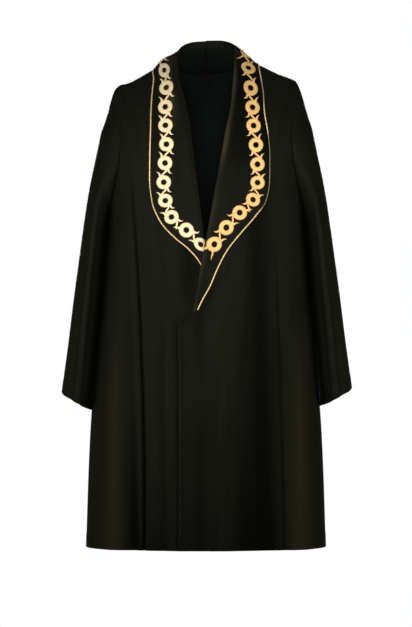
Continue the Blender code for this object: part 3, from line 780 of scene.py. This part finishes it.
def outside(points):
    """Signed distance from the body's surface, and the direction out of it.

    The distance is the surface's level divided by the length of the level's gradient.
    """

    def level(p):
        """Square of the depth's share of the oval, plus square of the rise's share of the round, less one."""
        section = smooth_line(BODY_SECTION, p[..., 2])
        depth = np.where(p[..., 1] < 0, section[..., 1], section[..., 2])
        power = section[..., 3]
        across = np.clip(np.abs(p[..., 0]) / section[..., 0], 0, 0.97)
        oval = (1 - across**power) ** (1 / power)
        rise = np.maximum(1 - (ridge_z(p[..., 0]) - p[..., 2]) / SHOULDER_ROUND, 0)
        return (p[..., 1] / (depth * oval)) ** 2 + rise**2 - 1

    gradient = np.stack([level(points + step) - level(points - step) for step in np.eye(3)], axis=-1) / 2
    length = lengths(gradient)
    return level(points) / length, gradient / length[..., None]


def at_height(points, height, only_out=False):
    """The points moved straight in or out until they stand at this height over the body's surface, or only
    out, where they are nearer to it than that."""
    for _ in range(6):
        distance, out = outside(points)
        step = np.maximum(height - distance, 0) if only_out else height - distance
        points = points + step[..., None] * out
    return points


def on_body(x, z, face):
    """Points of the body's surface at these places."""
    x, z = np.broadcast_arrays(np.asarray(x, float), np.asarray(z, float))
    return np.stack([x, body_y(x, z, face), z], axis=-1)


def collar_lines(side):
    """Three lines of a collar half from centre back to lapel tip: neck edge, roll and outer edge."""
    neck = np.array(COLLAR_NECK, float)
    front = np.array(COLLAR_FRONT[side], float)
    edge = [on_body(side * r[0], ridge_z(side * r[0]) - r[1], r[2]) for r in neck]
    lean = [ROLL_LEAN * ease(r[5], 20, 60) * r[3] / 60 * max(side, 0) for r in neck]
    roll = [(side * (r[3] + more), r[4], r[5] + SHOULDER_TILT * side * r[3]) for r, more in zip(neck, lean)]
    outer = [on_body(side * r[6], ridge_z(side * r[6]) - r[7], r[2]) for r in neck]
    edge_x = smooth_line(NECK_EDGE[side], front[:, 1])
    edge = np.concatenate([edge, on_body(side * edge_x, front[:, 1], -1)])
    roll = np.concatenate([roll, on_body(side * front[:, 0], front[:, 1], -1)])
    outer = np.concatenate([outer, on_body(side * front[:, 2], front[:, 3], -1)])
    return edge, roll, outer


def numbered(line):
    """The line's points as a table whose first column is their number."""
    return np.concatenate([np.arange(len(line), dtype=float)[:, None], line], axis=1)


def collar_grid(side, key):
    """Collar half at these keys along it: return inside the neck edge, stand, roll, fall and outer edge.

    Down the front the stand shrinks to nothing, and the fall is a soft loop at the roll that settles on the
    panel. Across, the points of each row are joined by a smooth line and read at even places.
    """
    edge, roll, outer = (smooth_line(numbered(line), key) for line in collar_lines(side))
    front_share = ease(key, 4.2, 7.2)[:, None]
    width = lengths(outer - edge)[:, None]
    away = (outer - edge) / width
    inside_end = at_height(edge + away * np.minimum(RETURN_WIDTH, width * 0.8), -INSIDE_DEPTH)
    inside_edge = at_height(edge + away * (0.5 - 3.2 * (1 - front_share)), -INSIDE_DEPTH)
    loop = ROLL_LOOP * front_share[:, 0] * np.clip(width[:, 0] / 60, 0, 1)
    if side < 0:
        loop = loop * (1 - ease(edge[:, 2], -250, -370))
    apex = roll * (1 - front_share) + at_height(roll, 0.6 + 0.45 * loop) * front_share
    stand_middle = (inside_edge + roll) / 2
    stand_middle = stand_middle * (1 - front_share) + front_share * (inside_edge * 0.4 + apex * 0.6)
    rows = [inside_end, inside_edge, stand_middle, apex]
    far = at_height(outer, FALL_HEIGHT - FALL_DROP)
    for share in (0.05, 0.12, 0.2, 0.3, 0.4, 0.5, 0.6, 0.7, 0.8, 0.9, 1):
        straight = apex + (far - apex) * share
        bulge = 60 * share * (1 - share) ** 2 if side > 0 else 55 * share**2 * (1 - share)
        straight[:, 2] = straight[:, 2] + (1 - front_share[:, 0]) * bulge
        swell = loop * share / ROLL_CREST * np.exp(1 - share / ROLL_CREST)
        laid = at_height(edge + (outer - edge) * share, FALL_HEIGHT - FALL_DROP * share + swell)
        low = straight * (1 - front_share) + laid * front_share
        rows.append(at_height(low, FALL_HEIGHT - FALL_DROP * share, only_out=True))
    points = np.stack(rows, axis=1)
    if side > 0:
        lift = layer_height(points[..., 0], points[..., 2]) * (points[..., 1] < 0)
        points = points - lift[..., None] * np.array([0, 1, 0])
    count = points.shape[1]
    flat_rows = np.moveaxis(points, 1, 0).reshape(count, -1)
    across = np.interp(np.linspace(0, 1, COLLAR_ACROSS + 1), [0, 0.1, 0.25, 0.4, 1], [0, 1, 3, 5, count - 1])
    fine = smooth_line(numbered(flat_rows), across)
    fine = np.moveaxis(fine.reshape(len(across), -1, 3), 0, 1)
    for _ in range(5):
        fine[:, 1:-1] = (fine[:, :-2] + 2 * fine[:, 1:-1] + fine[:, 2:]) / 4
    return fine


collar_keys = np.linspace(0, LAST_KEY, COLLAR_STEPS + 1)
collars = {}
for side, tail in ((+1, "left"), (-1, "right")):
    grid = collar_grid(side, collar_keys)
    grid[0, :, 0] = side * COLLAR_SEAM_X
    normals = grid_normals(grid)
    normals = normals * np.sign((normals[:, -1, 1] * grid[:, -1, 1]).sum())
    normals[0, :, 0] = 0
    normals = unit(normals)
    across = np.linspace(0, 1, COLLAR_ACROSS + 1)[None, :]
    # Painted light on each collar half: a painted highlight line, along the roll on the wearer's left half
    # and over the upper fall on the right one; on the wearer's left, painted shade over the middle of the
    # fall.
    middle, width, amount, end = PAINTED_HIGHLIGHT_LINE[side]
    painted_light = amount * bell(across, middle, width)
    painted_light = painted_light * (ease(collar_keys, 3.5, 6) * (1 - ease(collar_keys, end - 1.0, end + 0.6)))[:, None]
    painted_light = painted_light * (0.75 + 0.25 * np.sin(2.1 * collar_keys))[:, None]
    if side > 0:
        in_shade = ease(collar_keys, 4.5, 6.5) * (1 - ease(collar_keys, 9, 13))
        painted_light = painted_light - 0.8 * ease(across, 0.3, 0.45) * in_shade[:, None]
        painted_light = painted_light * (1 - 0.5 * ease(collar_keys, 9.8, 11.2))[:, None]
    # Painted shade on the stand, whose outer faces also take the inside crepe below.
    painted_light = np.where(across < STAND_COLUMNS / COLLAR_ACROSS, -0.6, painted_light)
    cloth, marks = (collar_cloth, crepe_inside), {"painted_light_mark": painted_light}
    shell = cloth_shell("shawl_" + tail, grid, normals, COLLAR_CLOTH, cloth, marks=marks)
    slots = np.zeros(len(shell.data.polygons), np.int32)
    across = np.arange((len(grid) - 1) * COLLAR_ACROSS) % COLLAR_ACROSS
    slots[: len(across)] = across < STAND_COLUMNS
    shell.data.polygons.foreach_set("material_index", slots)
    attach(shell, "root")
    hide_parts("collar_" + tail)
    collars[side] = (grid, normals)

# Piping: a round gold cord twisted from three strands, sewn along the outer edge of each collar half. In
# places it has sunk beside the edge, and there it is thinner, and its colour is painted darker as shade.
PIPING_RADIUS = 1.6
PIPING_GAP = 0.3
PIPING_LIFT = 0.4
PIPING_SIDES = 12
STRANDS = 3
TWIST_LENGTH = 9.0

# Stretches where the cord has sunk and is painted in shade: key where it starts, key where it ends, how much
SUNK_SHADED = {+1: ((6.0, 7.6, 0.55), (9.0, 12.55, 0.9)), -1: ((11.2, 12.4, 0.35),)}
# Colour of the cord's painted shade where it has sunk.
PAINTED_SHADE_THREAD = (0.07, 0.062, 0.045)


def stitch_height(tree, chart, stripes):
    """Height of the thread: fine stripes across the stitch, and a little fuzz."""
    fuzz = noise(tree, chart, 900, 2)
    return calc(tree, "MULTIPLY_ADD", fuzz, 0.5, stripes_of(tree, chart, "X", stripes, 0.6))


def thread(name, deep, bright, pale, stripes, roughness, metal):
    """Thread: fine stripes across the stitch raise it, and each stitch runs from a deep tone at its rims,
    painted shade, to a pale one on its crown, a painted highlight. Where it is marked for shade its colour is
    painted darker."""
    material, tree, shader, chart = raised_material(name, 0.4, 0.0002, stitch_height, stripes)
    rim = blend(tree, mark(tree, "crown"), deep, pale)
    drift = stretched(tree, noise(tree, chart, 160, 2), 0.35, 0.65, 0.0, 0.55)
    colour = blend(tree, mark(tree, "painted_shade"), blend(tree, drift, rim, bright), PAINTED_SHADE_THREAD)
    tree.links.new(colour, shader.inputs["Base Color"])
    shader.inputs["Metallic"].default_value = metal
    shader.inputs["Roughness"].default_value = roughness
    return material


# Cord colours: deep is painted shade between the strands, pale a painted highlight on their crowns.
gold_cord = thread(
    "gold_cord", deep=(0.50, 0.29, 0.09), bright=(0.74, 0.52, 0.24), pale=(0.86, 0.70, 0.42),
    stripes=0.0009, roughness=0.4, metal=0.3,
)


def tubes_piece(name, tubes, material, marks):
    """One piece of one or more tubes. Each has its rings of points, the length along it at each ring, its
    girth, and whether it closes on itself; one that doesn't has flat ends."""
    corners, faces, charts = [], [], []
    first = 0
    for points, length, girth, closed in tubes:
        rings, sides = points.shape[:2]
        corner = first + np.arange(rings * sides).reshape(rings, sides)
        first += rings * sides
        wrapped = np.hstack([corner, corner[:, :1]])
        if closed:
            wrapped = np.vstack([wrapped, wrapped[:1]])
        along = np.broadcast_to(length[:, None], wrapped.shape)
        round_it = np.broadcast_to(girth * np.linspace(0, 1, sides + 1), wrapped.shape)
        flat = np.stack([along, round_it], -1).reshape(-1, 2) / 1000
        faces.append(quads_of(wrapped))
        charts.append(flat[quads_of(np.arange(wrapped.size).reshape(wrapped.shape))])
        ends = () if closed else (corner[0, ::-1], corner[-1])
        for end in ends:
            caps = [end[[i, i + 1, sides - 2 - i, sides - 1 - i]] for i in range(sides // 2 - 1)]
            faces.append(np.array(caps))
            charts.append(np.zeros((len(caps), 4, 2)))
        corners.append(points.reshape(-1, 3))
    faces, charts = np.concatenate(faces), np.concatenate(charts)
    return mesh_piece(name, np.concatenate(corners), faces, charts, (material,), marks=marks)


def distance_along(path):
    """Distance from the start of a path to each of its points, along the path."""
    return np.append(0, lengths(np.diff(path, axis=0)).cumsum())


def twisted_cord(name, path, heading, radius, sunk_shaded, material):
    """Cord: a lobed ring of points carried along the path, square to it, turning once each twist length.
    Where it sits lower beside the collar's edge it is thinner, and its colour is painted darker as shade."""
    across = unit(np.cross(heading, np.array([0.3, 1.0, 0.2])))
    other = np.cross(heading, across)
    length = distance_along(path)
    turn = 2 * np.pi * np.arange(PIPING_SIDES)[None, :] / PIPING_SIDES
    lobe = np.cos(STRANDS * turn - 2 * np.pi * length[:, None] / TWIST_LENGTH)
    reach = radius * (1 - 0.3 * sunk_shaded[:, None]) * (0.93 + 0.09 * lobe)
    ring = np.cos(turn)[..., None] * across[:, None] + np.sin(turn)[..., None] * other[:, None]
    points = path[:, None] + reach[..., None] * ring
    crown = np.clip(0.5 + 0.5 * lobe, 0, 1).reshape(-1)
    # Painted shade mark: the cord's colour darkens where it sits lower.
    painted_shade = (0.92 * sunk_shaded[:, None] + 0 * lobe).reshape(-1)
    tubes = [(points, length, 2 * np.pi * radius, False)]
    return tubes_piece(name, tubes, material, {"crown": crown, "painted_shade": painted_shade})


for side, tail in ((+1, "left"), (-1, "right")):
    grid, normals = collars[side]
    heading = unit(np.gradient(grid[:, -1], axis=0))
    beyond = grid[:, -1] - grid[:, -3]
    beyond = unit(beyond - (beyond * heading).sum(axis=-1, keepdims=True) * heading)
    path = grid[:, -1] + beyond * (PIPING_RADIUS + PIPING_GAP) + PIPING_LIFT * normals[:, -1]
    path[0, 0] = side * SEAM_GAP / 2
    path = smooth_line(numbered(path), np.linspace(0, len(path) - 1, 3 * len(path)))
    key = np.linspace(0, LAST_KEY, len(path))
    sunk_shaded = np.zeros(len(path))
    for start, end, amount in SUNK_SHADED[side]:
        sunk_shaded = sunk_shaded + amount * ease(key, start - 0.3, start + 0.3) * (1 - ease(key, end - 0.3, end + 0.3))
    heading = unit(np.gradient(path, axis=0))
    cord = twisted_cord("cord_" + tail, path, heading, PIPING_RADIUS, sunk_shaded, gold_cord)
    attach(cord, "root")
    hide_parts("piping_" + tail)

# Border: gold embroidery along each collar half, a running chain of rings. Each ring has a hooked tip above
# and below, and a slanting link to the next one. The stitches are padded, so they stand up off the cloth.
RING_RADIUS = 11.8
RING_HALF_BAND = 5.7
RING_PITCH = 44.8
THREAD_HEIGHT = 0.9
THREAD_GAP = 0.05
STROKE_GIRTH = 12.0

# Places of the rings on the collar: number, key along the collar, share of the way to the outer edge
RING_PLACES = {
    +1: (
        (-3, 0.55, 0.55), (-2, 1.65, 0.55), (-1, 4, 0.42), (0, 5.45, 0.5), (1, 6.9, 0.57), (2, 7.95, 0.64),
        (3, 8.8, 0.65), (4, 9.65, 0.7), (5, 10.45, 0.75), (6, 11.22, 0.775), (7, 12.05, 0.75),
        (8, 12.8, 0.6), (9, 13.6, 0.45), (10, 14.5, 0.29),
    ),
    -1: (
        (-3, 0.5, 0.55), (-2, 1.5, 0.55), (-1, 3.7, 0.5), (0, 5.5, 0.5), (1, 6.95, 0.48), (2, 7.95, 0.58),
        (3, 8.8, 0.61), (4, 9.65, 0.6), (5, 10.45, 0.65), (6, 11.25, 0.7), (7, 12.05, 0.72),
        (8, 12.85, 0.7), (9, 13.6, 0.47), (10, 14.45, 0.13),
    ),
}

# Rings drawn longer along the chain and narrower across it: side and number, then the two shares
RING_SHAPE = {(-1, -1): (1.0, 0.8), (-1, 0): (1.24, 0.78), (-1, 10): (1.0, 0.8)}

# Strokes of one ring's hooks and link: points along and across the chain, each with its half width
RING_STROKES = (
    ((12.6, -8.0, 3.2), (19.5, -10.5, 2.5), (22.6, -13.6, 1.6), (23.4, -18.6, 0.2)),
    ((-12.8, 8.0, 3.2), (-18.6, 9.6, 2.5), (-22.6, 12.6, 1.6), (-25.4, 16.8, 0.2)),
    ((13.2, -7.2, 2.3), (18.4, -4.4, 2.3), (24.6, 1.6, 2.3), (31.6, 7.0, 2.3)),
)
LAST_TAIL = ((13, 6, 2.6), (20, 10, 2.2), (26, 12, 1.6), (32, 15.5, 0.2))

# Thread of each border, the wearer's left one a little redder as a painted warm light: at the rims (painted
# shade), where worn, and on the crown (painted highlight)
THREAD_TONES = {
    +1: ((0.50, 0.24, 0.06), (0.68, 0.40, 0.15), (0.76, 0.50, 0.22)),
    -1: ((0.54, 0.34, 0.14), (0.72, 0.54, 0.33), (0.80, 0.68, 0.49)),
}


def stroke(path, half_width, closed):
    """Flat-bottomed rib along a path in the chart's plane: along, across and height of each point of its
    section, which is half an oval over the line and nearly flat under it."""
    section = 2 * np.pi * np.arange(8)[None, :] / 8
    if closed:
        heading = unit(np.roll(path, -1, axis=0) - np.roll(path, 1, axis=0))
    else:
        heading = unit(np.gradient(path, axis=0))
    square = np.stack([-heading[:, 1], heading[:, 0]], -1)
    reach = half_width[:, None] * np.cos(section)
    flat = path[:, None] + reach[..., None] * square[:, None]
    crown = np.minimum(half_width[:, None] / 2.2, 1)
    up = THREAD_HEIGHT * crown * np.maximum(np.sin(section), -0.3) + 0 * reach
    return np.concatenate([flat, up[..., None]], axis=-1)


def ring_strokes(first, last):
    """All strokes of one link of the chain: the ring itself, its two hooks, and the bar to the next ring.

    The first ring has no hook across the centre-back seam, and the last one ends in a tail.
    """
    turn = 2 * np.pi * np.arange(40) / 40
    circle = RING_RADIUS * np.stack([np.cos(turn), np.sin(turn)], -1)
    made = [(stroke(circle, np.full(40, RING_HALF_BAND), True), True)]
    upper_hook, lower_hook, link = RING_STROKES
    lines = (upper_hook,) if first else (upper_hook, lower_hook)
    for line in (*lines, LAST_TAIL if last else link):
        read = smooth_line(numbered(np.array(line)), np.linspace(0, len(line) - 1, 13))
        made.append((stroke(read[:, :2], read[:, 2], False), False))
    return made


def read_grid(grid, row, column):
    """Value of a grid between its points: the mean of the four round it, weighted by nearness."""
    row = np.clip(row, 0, grid.shape[0] - 1.001)
    column = np.clip(column, 0, grid.shape[1] - 1.001)
    i, j = row.astype(int), column.astype(int)
    f, g = (row - i)[..., None], (column - j)[..., None]
    upper = grid[i, j] * (1 - g) + grid[i, j + 1] * g
    lower = grid[i + 1, j] * (1 - g) + grid[i + 1, j + 1] * g
    return upper * (1 - f) + lower * f


def set_on_collar(grid, normals, centre, heading, flat):
    """Points of a chart laid on the collar: each is moved over the cloth until, seen square on at the ring's
    centre, it stands at its charted place, and is then raised off the cloth by its height."""
    base = read_grid(grid, *centre)
    up = unit(read_grid(normals, *centre))
    along = unit(heading - (heading * up).sum() * up)
    across = np.cross(up, along)
    step_down, step_over = np.gradient(grid, axis=(0, 1))
    across = across * np.sign((across * read_grid(step_over, *centre)).sum())
    axes = np.stack([along, across], -1)
    row = np.full(flat.shape[:-1], float(centre[0]))
    column = np.full(flat.shape[:-1], float(centre[1]))
    for _ in range(9):
        miss = flat[..., :2] - (read_grid(grid, row, column) - base) @ axes
        down, over = read_grid(step_down, row, column) @ axes, read_grid(step_over, row, column) @ axes
        area = down[..., 0] * over[..., 1] - down[..., 1] * over[..., 0]
        area = np.where(np.abs(area) < 0.05, 0.05 * np.where(area < 0, -1, 1), area)
        row = row + np.clip((miss[..., 0] * over[..., 1] - miss[..., 1] * over[..., 0]) / area, -3, 3)
        column = column + np.clip((down[..., 0] * miss[..., 1] - down[..., 1] * miss[..., 0]) / area, -3, 3)
        row = np.clip(row, 0, grid.shape[0] - 1.01)
        column = np.clip(column, 0, grid.shape[1] - 1.01)
    lift = COLLAR_CLOTH / 2 + THREAD_GAP + flat[..., 2:]
    return read_grid(grid, row, column) + lift * unit(read_grid(normals, row, column))


FALL_COLUMN = int(round(0.25 * COLLAR_ACROSS))
for side, tail in ((+1, "left"), (-1, "right")):
    grid, normals = collars[side]
    table = np.array(RING_PLACES[side], float)
    numbers = table[:, 0]
    edge, _, outer = (smooth_line(numbered(line), table[:, 1]) for line in collar_lines(side))
    rows = table[:, 1] / LAST_KEY * COLLAR_STEPS
    fall_columns = np.arange(FALL_COLUMN, COLLAR_ACROSS + 1.0)
    columns = []
    for row, share, start, end in zip(rows, table[:, 2], edge, outer):
        fall = read_grid(grid, np.full(len(fall_columns), row), fall_columns)
        done = ((fall - start) @ (end - start)) / ((end - start) @ (end - start))
        columns.append(np.interp(share, done, fall_columns))
    columns = np.array(columns)
    centres = read_grid(grid, rows, columns)
    headings = np.gradient(centres, axis=0)
    tubes, crowns = [], []
    for k in range(len(rows)):
        stretch = np.linalg.norm(headings[k]) / RING_PITCH
        longer, narrower = RING_SHAPE.get((side, int(numbers[k])), (1.0, 1.0))
        for flat, closed in ring_strokes(k == 0, k == len(rows) - 1):
            laid = flat * np.array([np.clip(stretch, 0.9, 1.25) * longer, narrower, 1])
            points = set_on_collar(grid, normals, (rows[k], columns[k]), headings[k], laid)
            length = np.linalg.norm(flat[1] - flat[0]) * np.arange(len(points) + closed)
            tubes.append((points, length, STROKE_GIRTH, closed))
            crowns.append(np.clip(flat[..., 2] / THREAD_HEIGHT, 0, 1).reshape(-1))
    gold = thread("gold_stitches_" + tail, *THREAD_TONES[side], stripes=0.0006, roughness=0.55, metal=0.12)
    border = tubes_piece("border_" + tail, tubes, gold, {"crown": np.concatenate(crowns)})
    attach(border, "root")

# Topstitching: one row of black thread beside the left front's edge, from the lapel's tip to the hem. Each
# stitch is a short thread that dips into the cloth at both ends.
LAPEL_TIP_Z = -604.0
STITCH_LENGTH = 2.9
STITCH_GAP = 0.9
STITCH_LIFT = 0.16
STITCH_DIP = 0.3
THREAD_RADIUS = 0.28

grid = fronts[+1]
first = int(np.argmax(grid[:, 0, 2] < LAPEL_TIP_Z))
rows = np.arange(first, len(grid) - 1.0)
column = STITCH_INSET / lengths(grid[first:-1, 1] - grid[first:-1, 0])
line = read_grid(grid, rows, column)
facing = read_grid(grid_normals(grid), rows, column)
facing = facing * np.sign(-facing[:, 1].sum())
length = distance_along(line)
starts = np.arange(1.0, length[-1] - STITCH_LENGTH, STITCH_LENGTH + STITCH_GAP)
along = starts[:, None] + STITCH_LENGTH * np.linspace(0, 1, 6)[None, :]
number = np.interp(along, length, np.arange(len(length)))
centre = smooth_line(numbered(line), number)
up = unit(smooth_line(numbered(facing), number))
heading = unit(np.gradient(centre, axis=1))
across = np.cross(up, heading)
share = np.linspace(-1, 1, 6)[None, :, None]
thick = THREAD_RADIUS * np.sqrt(np.maximum(1 - share**6, 0.05))
centre = centre + up * (CREPE / 2 + STITCH_LIFT - STITCH_DIP * share**4)
turn = 2 * np.pi * np.arange(6) / 6
ring = np.cos(turn)[:, None] * across[..., None, :] + np.sin(turn)[:, None] * up[..., None, :]
points = centre[..., None, :] + thick[..., None] * ring
# Black thread colours: deep is painted shade at each stitch's rims, pale a painted highlight on its crown.
black_thread = thread(
    "black_thread", deep=(0.0014, 0.0015, 0.0012), bright=(0.0032, 0.0034, 0.0028),
    pale=(0.0052, 0.0054, 0.0044), stripes=0.0005, roughness=0.5, metal=0.0,
)
tubes = [(stitch, length, 2 * np.pi * THREAD_RADIUS, False) for stitch, length in zip(points, along)]
crown = np.broadcast_to(0.5 + 0.5 * np.sin(turn), points.shape[:-1]).reshape(-1)
stitches = tubes_piece("front_edge_stitches", tubes, black_thread, {"crown": crown})
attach(stitches, "root")

# Floor and light: a plain pale floor under the robe, which hangs clear of it. A soft light on either side
# lights the cloth evenly, a small one in front the neck opening, and two more the back and the shoulders.
FLOOR_Z = -1.5
FLOOR_HALF = 1.7
floor_mesh = bpy.data.meshes.new("floor")
floor_signs = ((-1, -1), (1, -1), (1, 1), (-1, 1))
floor_corners = [(FLOOR_HALF * x, FLOOR_HALF * y, FLOOR_Z) for x, y in floor_signs]
floor_mesh.from_pydata(floor_corners, [], [(0, 1, 2, 3)])
floor_material = bpy.data.materials.new("pale_floor")
floor_material.use_nodes = True
shader = floor_material.node_tree.nodes["Principled BSDF"]
shader.inputs["Base Color"].default_value = (0.86, 0.86, 0.85, 1)
shader.inputs["Roughness"].default_value = 0.8
floor_mesh.materials.append(floor_material)
floor = bpy.data.objects.new("floor", floor_mesh)
scene.collection.objects.link(floor)

world = bpy.data.worlds.new("white_room")
world.use_nodes = True
scene.world = world
tree = world.node_tree
tree.nodes["Background"].inputs["Color"].default_value = (1, 1, 1, 1)
tree.nodes["Background"].inputs["Strength"].default_value = 0.09
seen = put(tree, "ShaderNodeBackground", {}, {"Color": (1, 1, 1, 1), "Strength": 1.0})
path_kind = put(tree, "ShaderNodeLightPath", {}, {})
sockets = {0: path_kind.outputs["Is Camera Ray"], 1: tree.nodes["Background"].outputs[0], 2: seen.outputs[0]}
both = put(tree, "ShaderNodeMixShader", {}, sockets)
tree.links.new(both.outputs[0], tree.nodes["World Output"].inputs["Surface"])
scene.view_settings.view_transform = "Standard"

# Soft lights: name, place, aim, size, power, spread in degrees, colour
SOFT_LIGHTS = (
    ("side_light_left", (1.5, -1.45, -0.42), (0.12, 0, -0.47), (1.1, 1.0), 6.0, 80, (1.0, 0.94, 0.68)),
    ("side_light_right", (-1.5, -1.45, -0.42), (-0.12, 0, -0.47), (1.1, 1.0), 6.2, 80, (1.0, 0.97, 0.76)),
    ("front_light", (-0.03, -1.5, -0.26), (0, 0, -0.2), (0.45, 0.5), 3.0, 90, (1.0, 1.0, 0.98)),
    ("back_light", (0, 3.0, 0.2), (0, 0, -0.6), (1.8, 1.4), 80, 120, (1.0, 0.98, 0.93)),
    ("top_light", (0, 0.6, 2.4), (0, 0.3, -1), (2.0, 2.0), 7, 150, (1.0, 0.99, 0.96)),
)
for name, place, aim, size, power, spread, colour in SOFT_LIGHTS:
    data = bpy.data.lights.new(name, "AREA")
    data.shape = "RECTANGLE"
    data.size, data.size_y = size
    data.energy = power
    data.spread = math.radians(spread)
    data.color = colour
    lamp = bpy.data.objects.new(name, data)
    lamp.location = place
    line = np.array(aim) - np.array(place)
    sideways, upwards = math.atan2(-line[0], line[1]), math.atan2(line[2], math.hypot(line[0], line[1]))
    lamp.rotation_euler = (math.pi / 2 + upwards, 0, sideways)
    lamp.visible_camera = False
    scene.collection.objects.link(lamp)
